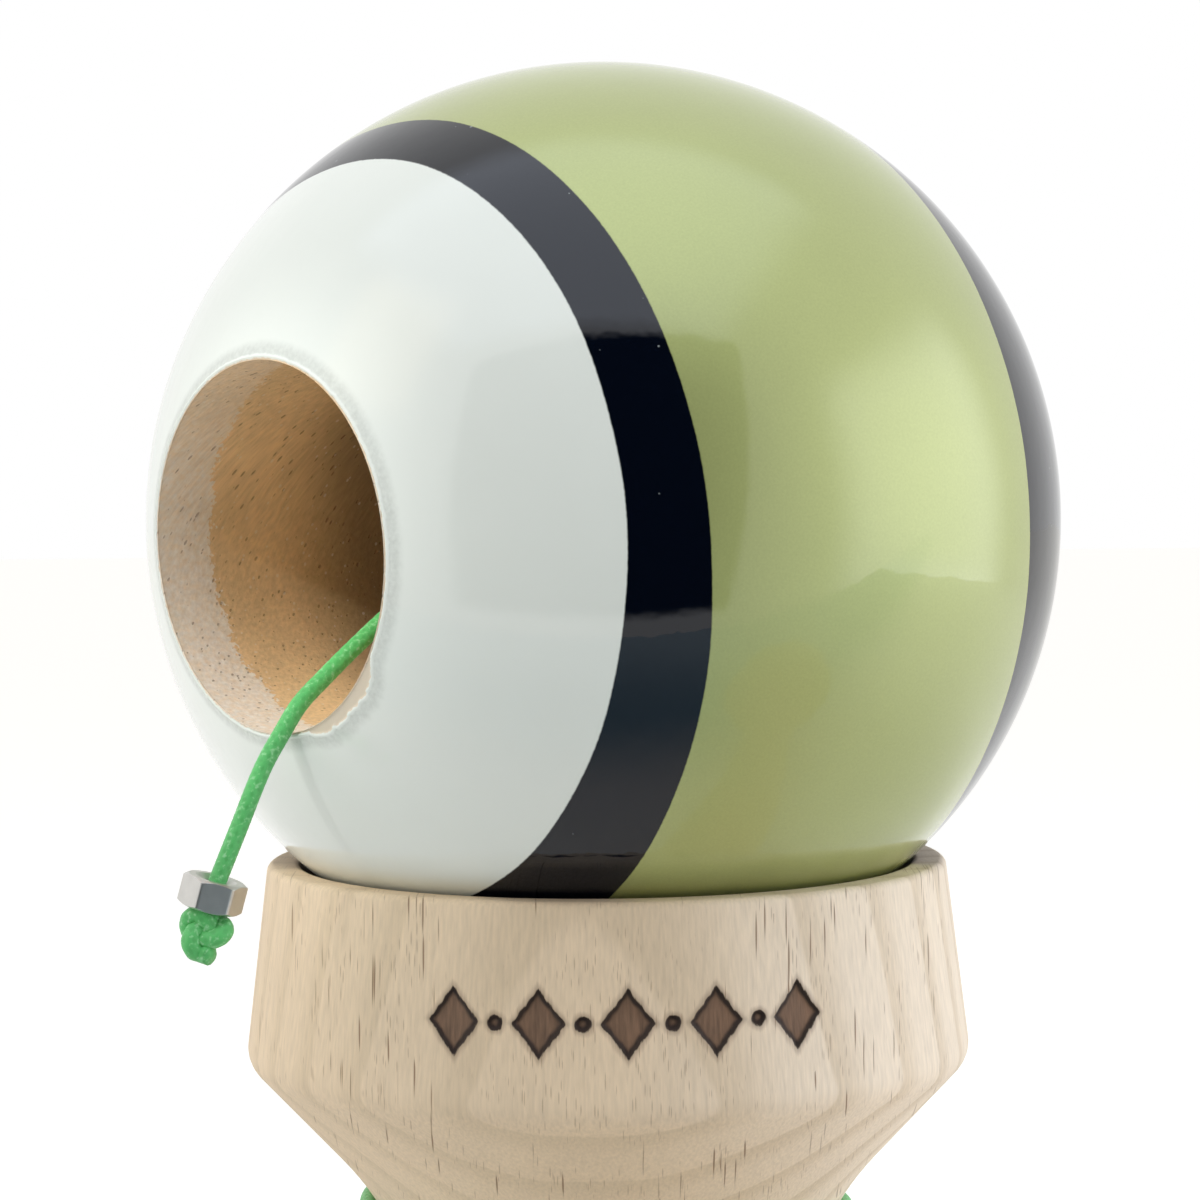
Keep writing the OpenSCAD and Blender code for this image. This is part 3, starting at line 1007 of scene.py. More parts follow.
@dataclass(frozen=True)
class Cup:
    """Outline of one turned cup, along its axis from where its reach starts."""

    # Sizes
    reach: float
    rim_d: float
    corner_d: float
    band_h: float
    seat_d: float
    bowl_depth: float
    neck_r: float
    stem_d: float
    cone_angle: float = 43.0
    corner_round: float = 2.1
    lip_round: float = 0.5
    seat_round: float = 0.3
    # Mesh steps
    side_step: float = 0.9
    band_step: float = 0.5
    bend_step: float = 0.25
    lip_step: float = 0.09
    rim_step: float = 0.4
    bowl_step: float = 1.1

    def neck_start(self) -> float:
        """Finds where the hollow neck starts.

        Returns:
            Its distance from where the reach starts.
        """
        slope = math.radians(self.cone_angle)
        neck_end_r = self.stem_d / 2 + self.neck_r * (1 - math.cos(slope))
        cone_h = (self.corner_d / 2 - neck_end_r) / math.tan(slope)
        return self.reach - self.band_h - cone_h - self.neck_r * math.sin(slope)

    def neck_radius(self, at: float) -> float:
        """Returns the radius at a distance from where the reach starts, up to the neck's end."""
        past = max(0.0, at - self.neck_start())
        return self.stem_d / 2 + self.neck_r - math.sqrt(self.neck_r ** 2 - past ** 2)

    def lean(self) -> float:
        """Returns how far the band leans toward the axis, in radians."""
        return math.atan((self.corner_d - self.rim_d) / 2 / self.band_h)

    def neck(self) -> np.ndarray:
        """Returns the hollow neck's points."""
        middle = (self.stem_d / 2 + self.neck_r, self.neck_start())
        return arc(middle, self.neck_r, 180.0, 180.0 - self.cone_angle, self.side_step)

    def bend(self) -> np.ndarray:
        """Rounds the corner between the cone and the band.

        Returns:
            The corner's points.
        """
        slope = math.radians(self.cone_angle)
        back = self.corner_round * math.tan((slope + self.lean()) / 2)
        corner = np.array([self.corner_d / 2, self.reach - self.band_h])
        up_cone = np.array([math.sin(slope), math.cos(slope)])
        inward = np.array([-math.cos(slope), math.sin(slope)])
        middle = corner - back * up_cone + self.corner_round * inward
        stop = math.degrees(self.lean())
        return arc(middle, self.corner_round, -self.cone_angle, stop, self.bend_step)

    def lip(self) -> np.ndarray:
        """Rounds the rim's outer edge.

        Returns:
            The edge's points.
        """
        inset = math.tan(self.lean()) - 1 / math.cos(self.lean())
        middle = (self.rim_d / 2 + self.lip_round * inset, self.reach - self.lip_round)
        return arc(middle, self.lip_round, math.degrees(self.lean()), 90.0, self.lip_step)

    def bowl(self) -> np.ndarray:
        """Draws the bowl with its softened seat.

        Returns:
            Points from the rim's inner edge to the axis.
        """
        seat = np.array([self.seat_d / 2, self.reach])
        bowl_r = (seat[0] ** 2 + self.bowl_depth ** 2) / (2 * self.bowl_depth)
        middle = (0.0, self.reach - self.bowl_depth + bowl_r)
        opening = math.degrees(math.acos(seat[0] / bowl_r) + self.seat_round / bowl_r)
        hollow = arc(middle, bowl_r, -opening, -90.0, self.bowl_step)
        hollow[-1, 0] = 0.0
        return joined(softened(seat + (self.seat_round, 0), seat, hollow[0]), hollow)

    def outline(self, fine: Pair | None = None, fine_step: float = 0.09) -> np.ndarray:
        """Points from the neck's start over the rim to the bowl's bottom.

        Args:
            fine: stretch of the band, from and to, that takes finer rows.
            fine_step: step of those rows.

        Returns:
            Points as radius and along. The last is on the axis.
        """
        neck, bend, lip, bowl = self.neck(), self.bend(), self.lip(), self.bowl()
        start, stop = bend[-1], lip[0]
        band = [line(start, stop, self.side_step)]
        if fine:
            low, high = (start + (stop - start) * (z - start[1]) / (stop[1] - start[1]) for z in fine)
            band = [line(start, low, self.band_step), line(low, high, fine_step),
                    line(high, stop, self.band_step)]
        cone = line(neck[-1], bend[0], self.side_step)
        return joined(neck, cone, bend, *band, lip, line(lip[-1], bowl[0], self.rim_step), bowl)


BIG_CUP = Cup(reach=38.0, rim_d=44.8, corner_d=47.9, band_h=12.8, seat_d=40.7, bowl_depth=11.0,
              neck_r=21.0, stem_d=24.8)
SMALL_CUP = Cup(reach=31.0, rim_d=40.6, corner_d=43.4, band_h=11.4, seat_d=36.6, bowl_depth=9.0,
                neck_r=18.0, stem_d=24.8)
BASE_CUP = Cup(reach=98.0, rim_d=39.2, corner_d=42.0, band_h=10.4, seat_d=35.0, bowl_depth=8.0,
               neck_r=20.0, stem_d=15.0)


@dataclass(frozen=True)
class Plug:
    """Push fit of the ken in the sarado: a taper along the ken's axis, up to a shoulder."""

    big_d: float = 15.4
    small_d: float = 14.2
    gap: float = 0.05
    shoulder_d: float = 17.4
    shoulder_gap: float = 0.3

    def reach(self) -> float:
        """Returns how far the shoulder stays from the sarado's axis, clear of both necks."""
        necks = [cup.neck_radius(self.shoulder_d / 2) for cup in (BIG_CUP, SMALL_CUP)]
        return self.shoulder_gap + max(necks)

    def hole_radius(self, along: float) -> float:
        """Returns the hole's radius at a distance toward the base cup."""
        taper = (self.big_d - self.small_d) * (along + self.reach()) / (2 * self.reach())
        return (self.small_d + taper) / 2 + self.gap


@dataclass
class Sarado:
    """Cross piece with the big and the small cup, on its small cup's rim."""

    # Sizes
    big: Cup = BIG_CUP
    small: Cup = SMALL_CUP
    plug: Plug = Plug()
    marks: LozengeRow = LozengeRow()
    # Mesh steps
    fine_step: float = 0.09
    waist_step: float = 0.9
    column_step: float = 3.0
    cutter_step: float = 3.75
    # String hole and its pocket
    string_hole_d: float = 1.9
    pocket_d: float = 3.6
    anchor_wall: float = 1.7
    overcut: float = 1.0
    # Finish
    crisp_zone: float = 12.0
    wood: Beech = Beech("sarado_beech", (-0.674, -0.739, 0.0), (0.0, 0.0, 1.0), scorched=True)

    def rim_z(self) -> float:
        """Returns the height of the big cup's rim."""
        return KEN_MID[2] + self.big.reach

    def columns(self) -> np.ndarray:
        """Spaces the columns, close together across the burnt row.

        Returns:
            The columns' directions.
        """
        half = math.degrees(self.marks.half_span() / (self.big.rim_d / 2))
        fine = math.degrees(self.fine_step / (self.big.rim_d / 2))
        near = np.linspace(-half, half, round(2 * half / fine) + 1)
        far = np.linspace(half, 360 - half, round((360 - 2 * half) / self.column_step) + 1)
        return self.marks.direction + np.r_[near, far[1:-1]]

    def mark_distance(self, points: np.ndarray) -> np.ndarray:
        """Distance of each point to the burnt marks' outlines.

        Args:
            points: points in millimetres.

        Returns:
            The distances, below zero inside a mark, and large away from the band's face.
        """
        radius = np.hypot(points[:, 0], points[:, 1])
        turned = np.degrees(np.arctan2(points[:, 1], points[:, 0])) - self.marks.direction
        across = np.radians((turned + 180) % 360 - 180) * radius
        up = points[:, 2] - (self.rim_z() - self.marks.below_rim)
        outside = radius > self.big.rim_d / 2 - self.marks.depth
        farthest = self.marks.farthest
        return np.where(outside, np.clip(self.marks.distance(across, up), -farthest, farthest), farthest)

    def cutter(self, name: str, radii: Pair, ends: Pair, turn: Matrix) -> bpy.types.Object:
        """Round cutter through the ken's axis.

        Args:
            name: name of the cutter.
            radii: radius at each end.
            ends: where it starts and stops along its own axis.
            turn: turns its own Z onto the direction of the cut.

        Returns:
            The cutter.
        """
        sides = np.arange(0, 360, self.cutter_step)
        rings = lathe(np.column_stack((radii, ends)), sides)
        points, faces = capped(rings, len(sides), on_axis(ends[0]), on_axis(ends[1]))
        return make_piece(name, points @ np.array(turn).T + KEN_MID, faces)

    def turned(self) -> bpy.types.Object:
        """Turns the cross piece, with its marks burnt in.

        Returns:
            The piece before it is drilled.
        """
        half_h = self.marks.half_h + self.marks.margin
        mid = self.big.reach - self.marks.below_rim
        upper = self.big.outline((mid - half_h, mid + half_h), self.fine_step)
        lower = self.small.outline()[::-1] * (1, -1)
        waist = line(lower[-1], upper[0], self.waist_step)
        profile = joined(lower, waist, upper) + (0, KEN_MID[2])
        angles = self.columns()
        rings = lathe(profile[1:-1], angles)
        depth = self.marks.depth * eased(0.0, self.marks.wall, -self.mark_distance(rings))
        outward = np.hypot(rings[:, 0], rings[:, 1])
        rings[:, :2] *= (1 - depth / outward)[:, None]
        points, faces = capped(rings, len(angles), on_axis(profile[0, 1]), on_axis(profile[-1, 1]))
        return make_piece("sarado_turned", points, faces)

    def drill(self, piece: bpy.types.Object) -> None:
        """Drills the plug's hole, the string hole and the anchor knot's pocket.

        Args:
            piece: the turned cross piece.
        """
        to_base = Matrix.Rotation(math.radians(90), 3, "X")
        to_hole = Matrix.Rotation(math.radians(-90), 3, "Y")
        far = self.plug.reach() + self.overcut
        waist_r, hole_r, pocket_r = self.big.stem_d / 2, self.string_hole_d / 2, self.pocket_d / 2
        plug_radii = (self.plug.hole_radius(-far), self.plug.hole_radius(far))
        cuts = (("plug_cut", plug_radii, (-far, far), to_base),
                ("hole_cut", (hole_r, hole_r), (0.0, waist_r + self.overcut), to_hole),
                ("pocket_cut", (pocket_r, pocket_r), (0.0, waist_r - self.anchor_wall), to_hole))
        for cut in cuts:
            carve(piece, self.cutter(*cut))

    def build(self) -> bpy.types.Object:
        """Builds and dresses the cross piece.

        Returns:
            The piece.
        """
        piece = self.turned()
        self.drill(piece)
        piece.data.shade_smooth()
        crisp_edges(piece, CRISP_ANGLE, lambda middle: abs(middle[2] - KEN_MID[2]) < self.crisp_zone)
        set_values(piece, "burn", self.mark_distance(points_of(piece)))
        piece.data.materials.clear()
        piece.data.materials.append(self.wood.material())
        hand_over(piece, Body.SARADO, Slot.BEECH, "sarado")
        return piece


@dataclass
class Ken:
    """Handle with its spike and base cup, along Y."""

    # Sizes
    base: Cup = BASE_CUP
    plug: Plug = Plug()
    spike_len: float = 62.0
    shoulder_round: float = 0.35
    belly_d: float = 20.0
    belly_at: float = 32.0
    tip_d: float = 6.4
    tip_round: float = 1.6
    spike_swell: float = 0.28
    # Mesh steps
    sides: int = 240
    steps: int = 40
    tip_step: float = 0.12
    flat_step: float = 0.4
    plug_step: float = 2.0
    shoulder_step: float = 0.3
    # Finish
    wood: Beech = Beech("ken_beech", (0.80, 0.0, 0.60), (0.0, 1.0, 0.0))

    def outline(self) -> np.ndarray:
        """Draws the handle from the spike's tip to the bowl.

        Returns:
            Points as radius and distance toward the base cup. The first and last are on the axis.
        """
        u = np.linspace(0, 1, self.steps)
        rise, fall = np.sin(np.pi / 2 * u), (1 - np.cos(np.pi * u)) / 2
        reach, shoulder_d = self.plug.reach(), self.plug.shoulder_d
        tip_r, root_r = self.tip_d / 2, self.plug.small_d / 2
        tip_mid = (tip_r - self.tip_round, self.tip_round - self.spike_len)
        tip = arc(tip_mid, self.tip_round, -90.0, 0.0, self.tip_step)
        tip_flat = line((0.0, -self.spike_len), tip[0], self.flat_step)
        widened = (1 - self.spike_swell) * u + self.spike_swell * rise
        spike_z = tip_mid[1] - (tip_mid[1] + reach) * u
        spike = np.column_stack((tip_r + (root_r - tip_r) * widened, spike_z))
        plug = line(spike[-1], (self.plug.big_d / 2, reach), self.plug_step)
        shoulder = np.array([shoulder_d / 2, reach])
        swelling = (shoulder_d + (self.belly_d - shoulder_d) * rise) / 2
        upper = np.column_stack((swelling, reach + (self.belly_at - reach) * u))
        edge = softened(shoulder - (self.shoulder_round, 0), shoulder, upper[1])
        face = line(plug[-1], edge[0], self.shoulder_step)
        narrowing = (self.belly_d + (self.base.stem_d - self.belly_d) * fall) / 2
        lower_z = self.belly_at + (self.base.neck_start() - self.belly_at) * u
        lower = np.column_stack((narrowing, lower_z))
        return joined(tip_flat, tip, spike, plug, face, edge, upper[1:], lower, self.base.outline())

    def build(self) -> bpy.types.Object:
        """Builds and dresses the handle.

        Returns:
            The piece.
        """
        profile = self.outline()
        rings = lathe(profile[1:-1], np.linspace(0, 360, self.sides, endpoint=False))
        points, faces = capped(rings, self.sides, on_axis(profile[0, 1]), on_axis(profile[-1, 1]))
        toward_base = np.array(Matrix.Rotation(math.radians(90), 3, "X"))
        piece = make_piece("ken_turned", points @ toward_base.T + KEN_MID, faces)
        crisp_edges(piece, CRISP_ANGLE, lambda middle: True)
        piece.data.materials.append(self.wood.material())
        hand_over(piece, Body.KEN, Slot.BEECH, "ken")
        return piece


@dataclass
class Tama:
    """Bored ball, painted up to a ragged edge at its hole's lip."""

    # Ball and holes
    radius: float = 30.0
    hole_r: float = 11.4
    hole_depth: float = 40.0
    point_angle: float = 118.0
    string_hole_r: float = 1.3
    # Mesh steps
    sides: int = 448
    face_step: float = 0.9
    lip_fine: float = 2.0
    lip_step: float = 0.08
    lip_growth: int = 8
    string_step: float = 1.5
    point_step: float = 1.0
    bore_step: float = 1.1
    mouth_zone: float = 1.0
    mouth_step: float = 0.2
    mouth_points: int = 4
    lip_edge: float = 0.12
    # Paint's thickness at the lip
    paint: float = 0.12
    paint_end: Pair = (0.04, -0.04)
    bead: float = 0.05
    bead_rise: Pair = (0.0, 0.06)
    bead_fall: Pair = (0.30, 0.10)
    lip_range: Pair = (-1.0, 4.0)
    # Paint's ragged edge
    edge_at: float = 0.10
    edge_fine: float = 0.05
    edge_slow: float = 0.03
    fine_waves: tuple[int, ...] = (37, 53, 71, 97, 131)
    fine_phase: float = 1.7
    slow_waves: tuple[int, ...] = (3, 7, 11, 17)
    slow_phase: float = 0.9
    # Chip in the lip
    chip_rise: Pair = (194.0, 203.0)
    chip_fall: Pair = (240.0, 226.0)
    chip_w: float = 0.62
    chip_fine: float = 0.22
    chip_slow: float = 0.25
    # Finishes
    lacquer: BallLacquer = BallLacquer()
    bore: BoreWood = BoreWood()

    def bore_outline(self, mouth: np.ndarray, far: np.ndarray) -> np.ndarray:
        """Outline of the two holes, back through the ball.

        Args:
            mouth: first point of the painted face, at the main hole.
            far: last point of the painted face, at the string hole.

        Returns:
            Points as radius and along, without the two given ones.
        """
        bottom = mouth[1] - self.hole_depth
        point_h = (self.hole_r - self.string_hole_r) / math.tan(math.radians(self.point_angle / 2))
        start = np.array([self.string_hole_r, bottom - point_h])
        wall_end = np.array([self.hole_r, bottom])
        corner = np.array([self.hole_r, mouth[1]])
        near = corner - (0, self.mouth_zone)
        edge = corner - (0, self.lip_edge)
        return joined(line(far, start, self.string_step), line(start, wall_end, self.point_step),
                      line(wall_end, near, self.bore_step), line(near, edge, self.mouth_step),
                      softened(edge, corner, mouth, self.mouth_points))[1:-1]

    def profile(self) -> tuple[np.ndarray, np.ndarray, int]:
        """Closed outline over the ball and back through its holes.

        Returns:
            Points as radius and along the hole's line, each point's distance from the mouth along the
            painted face, and the number of points on that face.
        """
        mouth = math.degrees(math.asin(self.hole_r / self.radius))
        far = 180 - math.degrees(math.asin(self.string_hole_r / self.radius))
        per_mm = math.degrees(1 / self.radius)
        length = (far - mouth) / per_mm
        near = np.arange(0, self.lip_fine, self.lip_step)
        growing = self.lip_fine + np.cumsum(np.linspace(self.lip_step, self.face_step, self.lip_growth))
        coarse = np.arange(growing[-1] + self.face_step, length, self.face_step)
        outer = np.r_[near, growing, coarse, length]
        turn = np.radians(mouth + outer * per_mm)
        face = self.radius * np.column_stack((np.sin(turn), np.cos(turn)))
        return np.vstack((face, self.bore_outline(face[0], face[-1]))), outer, len(face)

    def paint_edge(self, angles: np.ndarray) -> np.ndarray:
        """Distance from the mouth to the paint's ragged edge in each direction.

        Args:
            angles: directions about the hole's line.

        Returns:
            The distances.
        """
        turn = np.radians(angles)
        fine = np.mean([np.sin(k * turn + self.fine_phase * k * k) for k in self.fine_waves], axis=0)
        slow = np.mean([np.sin(k * turn + self.slow_phase * k * k) for k in self.slow_waves], axis=0)
        chipped = eased(*self.chip_rise, angles) * eased(*self.chip_fall, angles)
        chip = chipped * self.chip_w * (1 + self.chip_fine * fine + self.chip_slow * slow)
        return self.edge_at + self.edge_fine * fine + self.edge_slow * slow + chip

    def build(self) -> bpy.types.Object:
        """Builds and dresses the ball.

        Returns:
            The piece.
        """
        profile, outer, face_rows = self.profile()
        rows = len(profile)
        angles = np.linspace(0, 360, self.sides, endpoint=False)
        rings = lathe(profile, angles).reshape(rows, self.sides, 3)
        lip = np.full((rows, self.sides), self.lip_range[0])
        lip[:face_rows] = np.clip(outer[:, None] - self.paint_edge(angles), *self.lip_range)
        on_face = lip[:face_rows]
        sunk = self.paint * eased(*self.paint_end, on_face)
        raised = self.bead * eased(*self.bead_rise, on_face) * eased(*self.bead_fall, on_face)
        rings[:face_rows] *= (1 + (raised - sunk) / self.radius)[..., None]
        up = unit(np.array([HOLE_AXIS[2], 0, -HOLE_AXIS[0]]))
        turned = np.column_stack((up, np.cross(HOLE_AXIS, up), HOLE_AXIS))
        points = rings.reshape(-1, 3) @ turned.T + BALL_MID
        piece = make_piece("tama_ball", points, grid_faces(rows, self.sides, loop=True))
        set_values(piece, "lip", lip.reshape(-1))
        piece.data.materials.append(self.lacquer.material())
        piece.data.materials.append(self.bore.material())
        in_bore = np.arange(rows * self.sides) // self.sides >= face_rows - 1
        piece.data.polygons.foreach_set("material_index", in_bore.astype(np.int32))
        hand_over(piece, Body.TAMA, Slot.PAINT, "tama")
        return piece


@dataclass
class StopperNut:
    """Small hexagonal nut, threaded on the string's end."""

    # Sizes
    flats: float = 3.5
    height: float = 1.85
    bore_r: float = 0.95
    sink_r: float = 1.25
    bevel: float = 0.06
    bevel_angle: float = 30.0
    corner_soft: float = 0.05
    turn: float = 10.0
    pitch: float = 0.40
    thread: float = 0.07
    # Mesh steps
    column_step: float = 2.0
    face_rows: int = 4
    face_inset: float = 0.04
    bevel_zone: float = 0.22
    side_inset: float = 0.3
    side_rows: int = 12
    bore_rows: int = 40
    crisp_angle: float = 24.0
    # Finish
    steel: TurnedSteel = TurnedSteel()

    def rows(self, angles: np.ndarray) -> list[np.ndarray]:
        """Rows of the nut, over its top, down its side, under it and back up its bore.

        Args:
            angles: directions of the columns.

        Returns:
            Radius and along of each column, row after row.
        """
        columns = len(angles)
        flat_r, top = self.flats / 2, self.height / 2
        from_flat = (angles - self.turn) % 60 - 30
        corner_r = flat_r / math.cos(math.radians(30))
        hexagon = np.minimum(flat_r / np.cos(np.radians(from_flat)), corner_r - self.corner_soft)
        face_r = flat_r - self.bevel
        face = np.linspace(self.sink_r, face_r - self.face_inset, self.face_rows)
        rows = [level(radius, top, columns) for radius in face]
        shallow = np.linspace(0, self.bevel_zone, self.side_rows)
        inset = top - self.side_inset
        for z in np.r_[top - shallow, np.linspace(inset, -inset, self.side_rows), shallow[::-1] - top]:
            limit = face_r + (top - abs(z)) / math.tan(math.radians(self.bevel_angle))
            rows.append(level(np.minimum(hexagon, limit), z, columns))
        rows += [level(radius, -top, columns) for radius in face[::-1]]
        bore_top = top - (self.sink_r - self.bore_r)
        for z in np.linspace(-bore_top, bore_top, self.bore_rows):
            phase = (angles / 360 + z / self.pitch) % 1
            ridge = 1 - np.abs(2 * phase - 1)
            faded = self.thread * eased(bore_top, bore_top - self.pitch, abs(z))
            rows.append(level(self.bore_r + faded * (ridge - 0.5), z, columns))
        return rows

    def build(self, middle: np.ndarray, axes: tuple[np.ndarray, ...]) -> bpy.types.Object:
        """Builds and dresses the nut.

        Args:
            middle: the nut's middle.
            axes: the nut's own X, Y and Z.

        Returns:
            The piece.
        """
        angles = self.turn + np.arange(0, 360, self.column_step)
        rows = np.array(self.rows(angles))
        turn = np.radians(angles)
        radius, along = rows[..., 0], rows[..., 1]
        rings = np.stack((radius * np.cos(turn), radius * np.sin(turn), along), axis=-1)
        points = rings.reshape(-1, 3) @ np.array(axes) + middle
        piece = make_piece("stopper_nut_steel", points, grid_faces(len(rows), len(angles), loop=True))
        crisp_edges(piece, self.crisp_angle, lambda place: True)
        directions = tuple(tuple(float(x) for x in axis) for axis in axes)
        piece.data.materials.append(self.steel.material(middle, directions))
        hand_over(piece, Body.NUT, Slot.STEEL, "stopper_nut")
        return piece


@dataclass(frozen=True)
class Braid:
    """Braided tube: two sets of strands that cross, as ridges on a round string."""

    radius: float = 0.55
    relief: float = 0.03
    strands: int = 5
    lay: float = 4.2
    bulge: float = 0.3
    first_side: Triple = (0.0, 0.6, 0.8)

    def tube(self, name: str, path: np.ndarray, sides: int) -> bpy.types.Object:
        """Sweeps the braid along a path and closes its ends.

        Args:
            name: name of the piece.
            path: evenly spaced points of its middle line.
            sides: points round the string.

        Returns:
            The piece, with a value for how high each point lies on its strand.
        """
        tangents = np.gradient(path, axis=0)
        tangents /= np.linalg.norm(tangents, axis=1)[:, None]
        side = np.cross(tangents[0], self.first_side)
        sideways = np.empty_like(path)
        for i, tangent in enumerate(tangents):
            side = unit(side - side.dot(tangent) * tangent)
            sideways[i] = side
        upward = np.cross(tangents, sideways)
        run = np.r_[0, np.cumsum(np.linalg.norm(np.diff(path, axis=0), axis=1))][:, None]
        turn = np.linspace(0, 2 * np.pi, sides, endpoint=False)
        slant = 2 * np.pi * self.strands / self.lay * run
        ridge = np.maximum(np.cos(self.strands * turn + slant), np.cos(self.strands * turn - slant))
        radius = self.radius - self.relief * (1 - ridge) / 2
        ring = np.cos(turn)[:, None] * sideways[:, None] + np.sin(turn)[:, None] * upward[:, None]
        points = (path[:, None] + radius[..., None] * ring).reshape(-1, 3)
        bulge = self.bulge * self.radius
        ends = (path[0] - bulge * tangents[0], path[-1] + bulge * tangents[-1])
        piece = make_piece(name, *capped(points, sides, *ends))
        set_values(piece, "strand", np.r_[(ridge.reshape(-1) + 1) / 2, 0.5, 0.5])
        return piece


def through(points: np.ndarray, step: float, fine: int = 24) -> np.ndarray:
    """Smooth path through a route's points, with even steps.

    Args:
        points: the route's points.
        step: distance between the path's points.
        fine: pieces of curve between two of the route's points.

    Returns:
        The path's points.
    """
    ends = np.vstack((points[:1], points, points[-1:]))
    a, b, c, d = ends[:-3, None], ends[1:-2, None], ends[2:-1, None], ends[3:, None]
    u = np.linspace(0, 1, fine, endpoint=False)[None, :, None]
    bent = a - 2.5 * b + 2 * c - d / 2
    curve = b + u * (c - a) / 2 + u ** 2 * bent + u ** 3 * (1.5 * (b - c) + (d - a) / 2)
    dense = np.vstack((curve.reshape(-1, 3), points[-1:]))
    run = np.r_[0, np.cumsum(np.linalg.norm(np.diff(dense, axis=0), axis=1))]
    even = np.linspace(0, run[-1], max(2, round(run[-1] / step) + 1))
    return np.column_stack([np.interp(even, run, dense[:, axis]) for axis in range(3)])


@dataclass
class PlayString:
    """The toy's one string: through the ball to its nut and end knot, and wound below the big cup."""

    cord_d: float = 1.1
    # Through the ball to the nut
    tail_route: tuple[Triple, ...] = (
        (34, 0, 1.2), (30, 0, 1), (24, 0, 0.8), (18, 0, 0.6), (12, -0.1, 0.3), (6, -0.3, -0.1),
        (0, -0.6, -0.7), (-6, -0.9, -1.5), (-11, -1.3, -2.4), (-15.5, -1.6, -3.6),
        (-19.2, -1.8, -5.1), (-22.2, -1.9, -7), (-24.9, -2, -8.9),
        (-26.8, -2, -10.4), (-28.2, -2, -12.1))
    nut_at: Triple = (-33.5, -2, -21.3)
    nut_up: Triple = (0.184, -0.195, 0.963)
    tail_lean: float = 28.0
    tail_straight: float = 8.0
    tail_step: float = 4.0
    nut_h: float = StopperNut.height
    nut_gap: float = 0.2
    knot_len: float = 2.5
    # Behind the ball, and into the sarado
    lead_route: tuple[Triple, ...] = (
        (36.2, 0, 1), (37.9, 0.4, -0.2), (38.5, 1.1, -2.3), (38.1, 2.2, -5.8), (36.9, 4.1, -10.8),
        (35.2, 6.2, -15.8), (33.2, 8.3, -20.8), (30.9, 10.2, -25.8),
        (28.2, 12, -30.6), (25.1, 13.6, -34.9),
        (21.5, 14.9, -38.4), (17.4, 15.9, -41), (12.9, 16.6, -42.7), (8.4, 17, -43.7))
    root_route: tuple[Triple, ...] = (
        (-13.6, 5.7, 10.7), (-15.3, 3.2, 9.3), (-16.3, 1.4, 7.2), (-16.6, 0.4, 4.8), (-16.4, 0, 2.6),
        (-15.5, 0, 0.9), (-14, 0, 0.1), (-12.4, 0, 0), (-10.7, 0, 0))
    # Knots
    knot_in: tuple[Triple, ...] = ((0, 0, 1.35), (0.05, 0, 0.85))
    knot_out: Triple = (0.86, -0.2, -1.2)
    knot_from: float = 240.0
    knot_to: float = 557.0
    knot_spread: float = 0.40
    knot_flat: float = 0.32
    knot_cord_r: float = 0.60
    knot_aside: float = 0.4
    knot_step: float = 10.0
    knot_relief: float = 0.05
    anchor_size: float = 0.85
    # Mesh steps
    main_step: float = 0.14
    main_sides: int = 16
    fine_step: float = 0.09
    fine_sides: int = 24
    # Winding
    wind_turns: int = 3
    wind_start: float = 80.0
    wind_stop: float = 140.0
    wind_top: float = 15.4
    wind_space: float = 0.55
    wind_gap: float = 0.15
    wind_ring: float = 10.0
    neck: Cup = BIG_CUP
    finish: WaxedString = WaxedString()

    def tail_up(self) -> np.ndarray:
        """Returns the direction up the string's straight end."""
        lean = math.radians(self.tail_lean)
        return np.array([math.sin(lean), 0.0, math.cos(lean)])

    def nut_axes(self, view_right: np.ndarray) -> tuple[np.ndarray, ...]:
        """The nut's own X, Y and Z, as it sits loosely on the string.

        Args:
            view_right: direction that its X lies along.

        Returns:
            The three directions.
        """
        up = unit(self.nut_up)
        side = unit(view_right - view_right.dot(up) * up)
        return side, np.cross(up, side), up

    def nut_mid(self) -> np.ndarray:
        """Returns the nut's middle."""
        return BALL_MID + self.nut_at

    def tail_points(self) -> np.ndarray:
        """Lays the string through the ball and down to the end knot.

        Returns:
            The route's points.
        """
        up, nut = self.tail_up(), self.nut_mid()
        heights = np.arange(self.tail_straight, -0.1, -self.tail_step)
        straight = nut + heights[:, None] * up
        knot_top = nut - (self.nut_h / 2 + self.nut_gap) * up
        return np.vstack((BALL_MID + np.array(self.tail_route), straight, knot_top))

    def wind_point(self, angle: float) -> np.ndarray:
        """Point of the winding's middle line.

        Args:
            angle: turn from the winding's start.

        Returns:
            The point.
        """
        beside = self.neck.neck_r - self.cord_d / 2 - self.wind_gap
        start = self.neck.neck_start()
        first = math.asin((self.wind_top - start) / beside)
        climb = first - angle / 360 * (self.cord_d + self.wind_space) / beside
        radius = self.neck.stem_d / 2 + self.neck.neck_r - beside * math.cos(climb)
        turn = math.radians(self.wind_start + angle)
        height = start + beside * math.sin(climb)
        return KEN_MID + np.array([radius * math.cos(turn), radius * math.sin(turn), height])

    def main_points(self) -> np.ndarray:
        """Lays the string behind the ball, round the neck and down to the hole in the waist.

        Returns:
            The route's points.
        """
        end = 360 * self.wind_turns + self.wind_stop - self.wind_start
        winding = [self.wind_point(angle) for angle in np.arange(0, end + 1, self.wind_ring)]
        into = unit(self.wind_point(1) - self.wind_point(-1))
        out = unit(self.wind_point(end + 1) - self.wind_point(end - 1))
        return np.vstack((BALL_MID + self.tail_route[0], BALL_MID + np.array(self.lead_route),
                          winding[0] - self.cord_d * into, winding, winding[-1] + self.cord_d * out,
                          KEN_MID + np.array(self.root_route)))

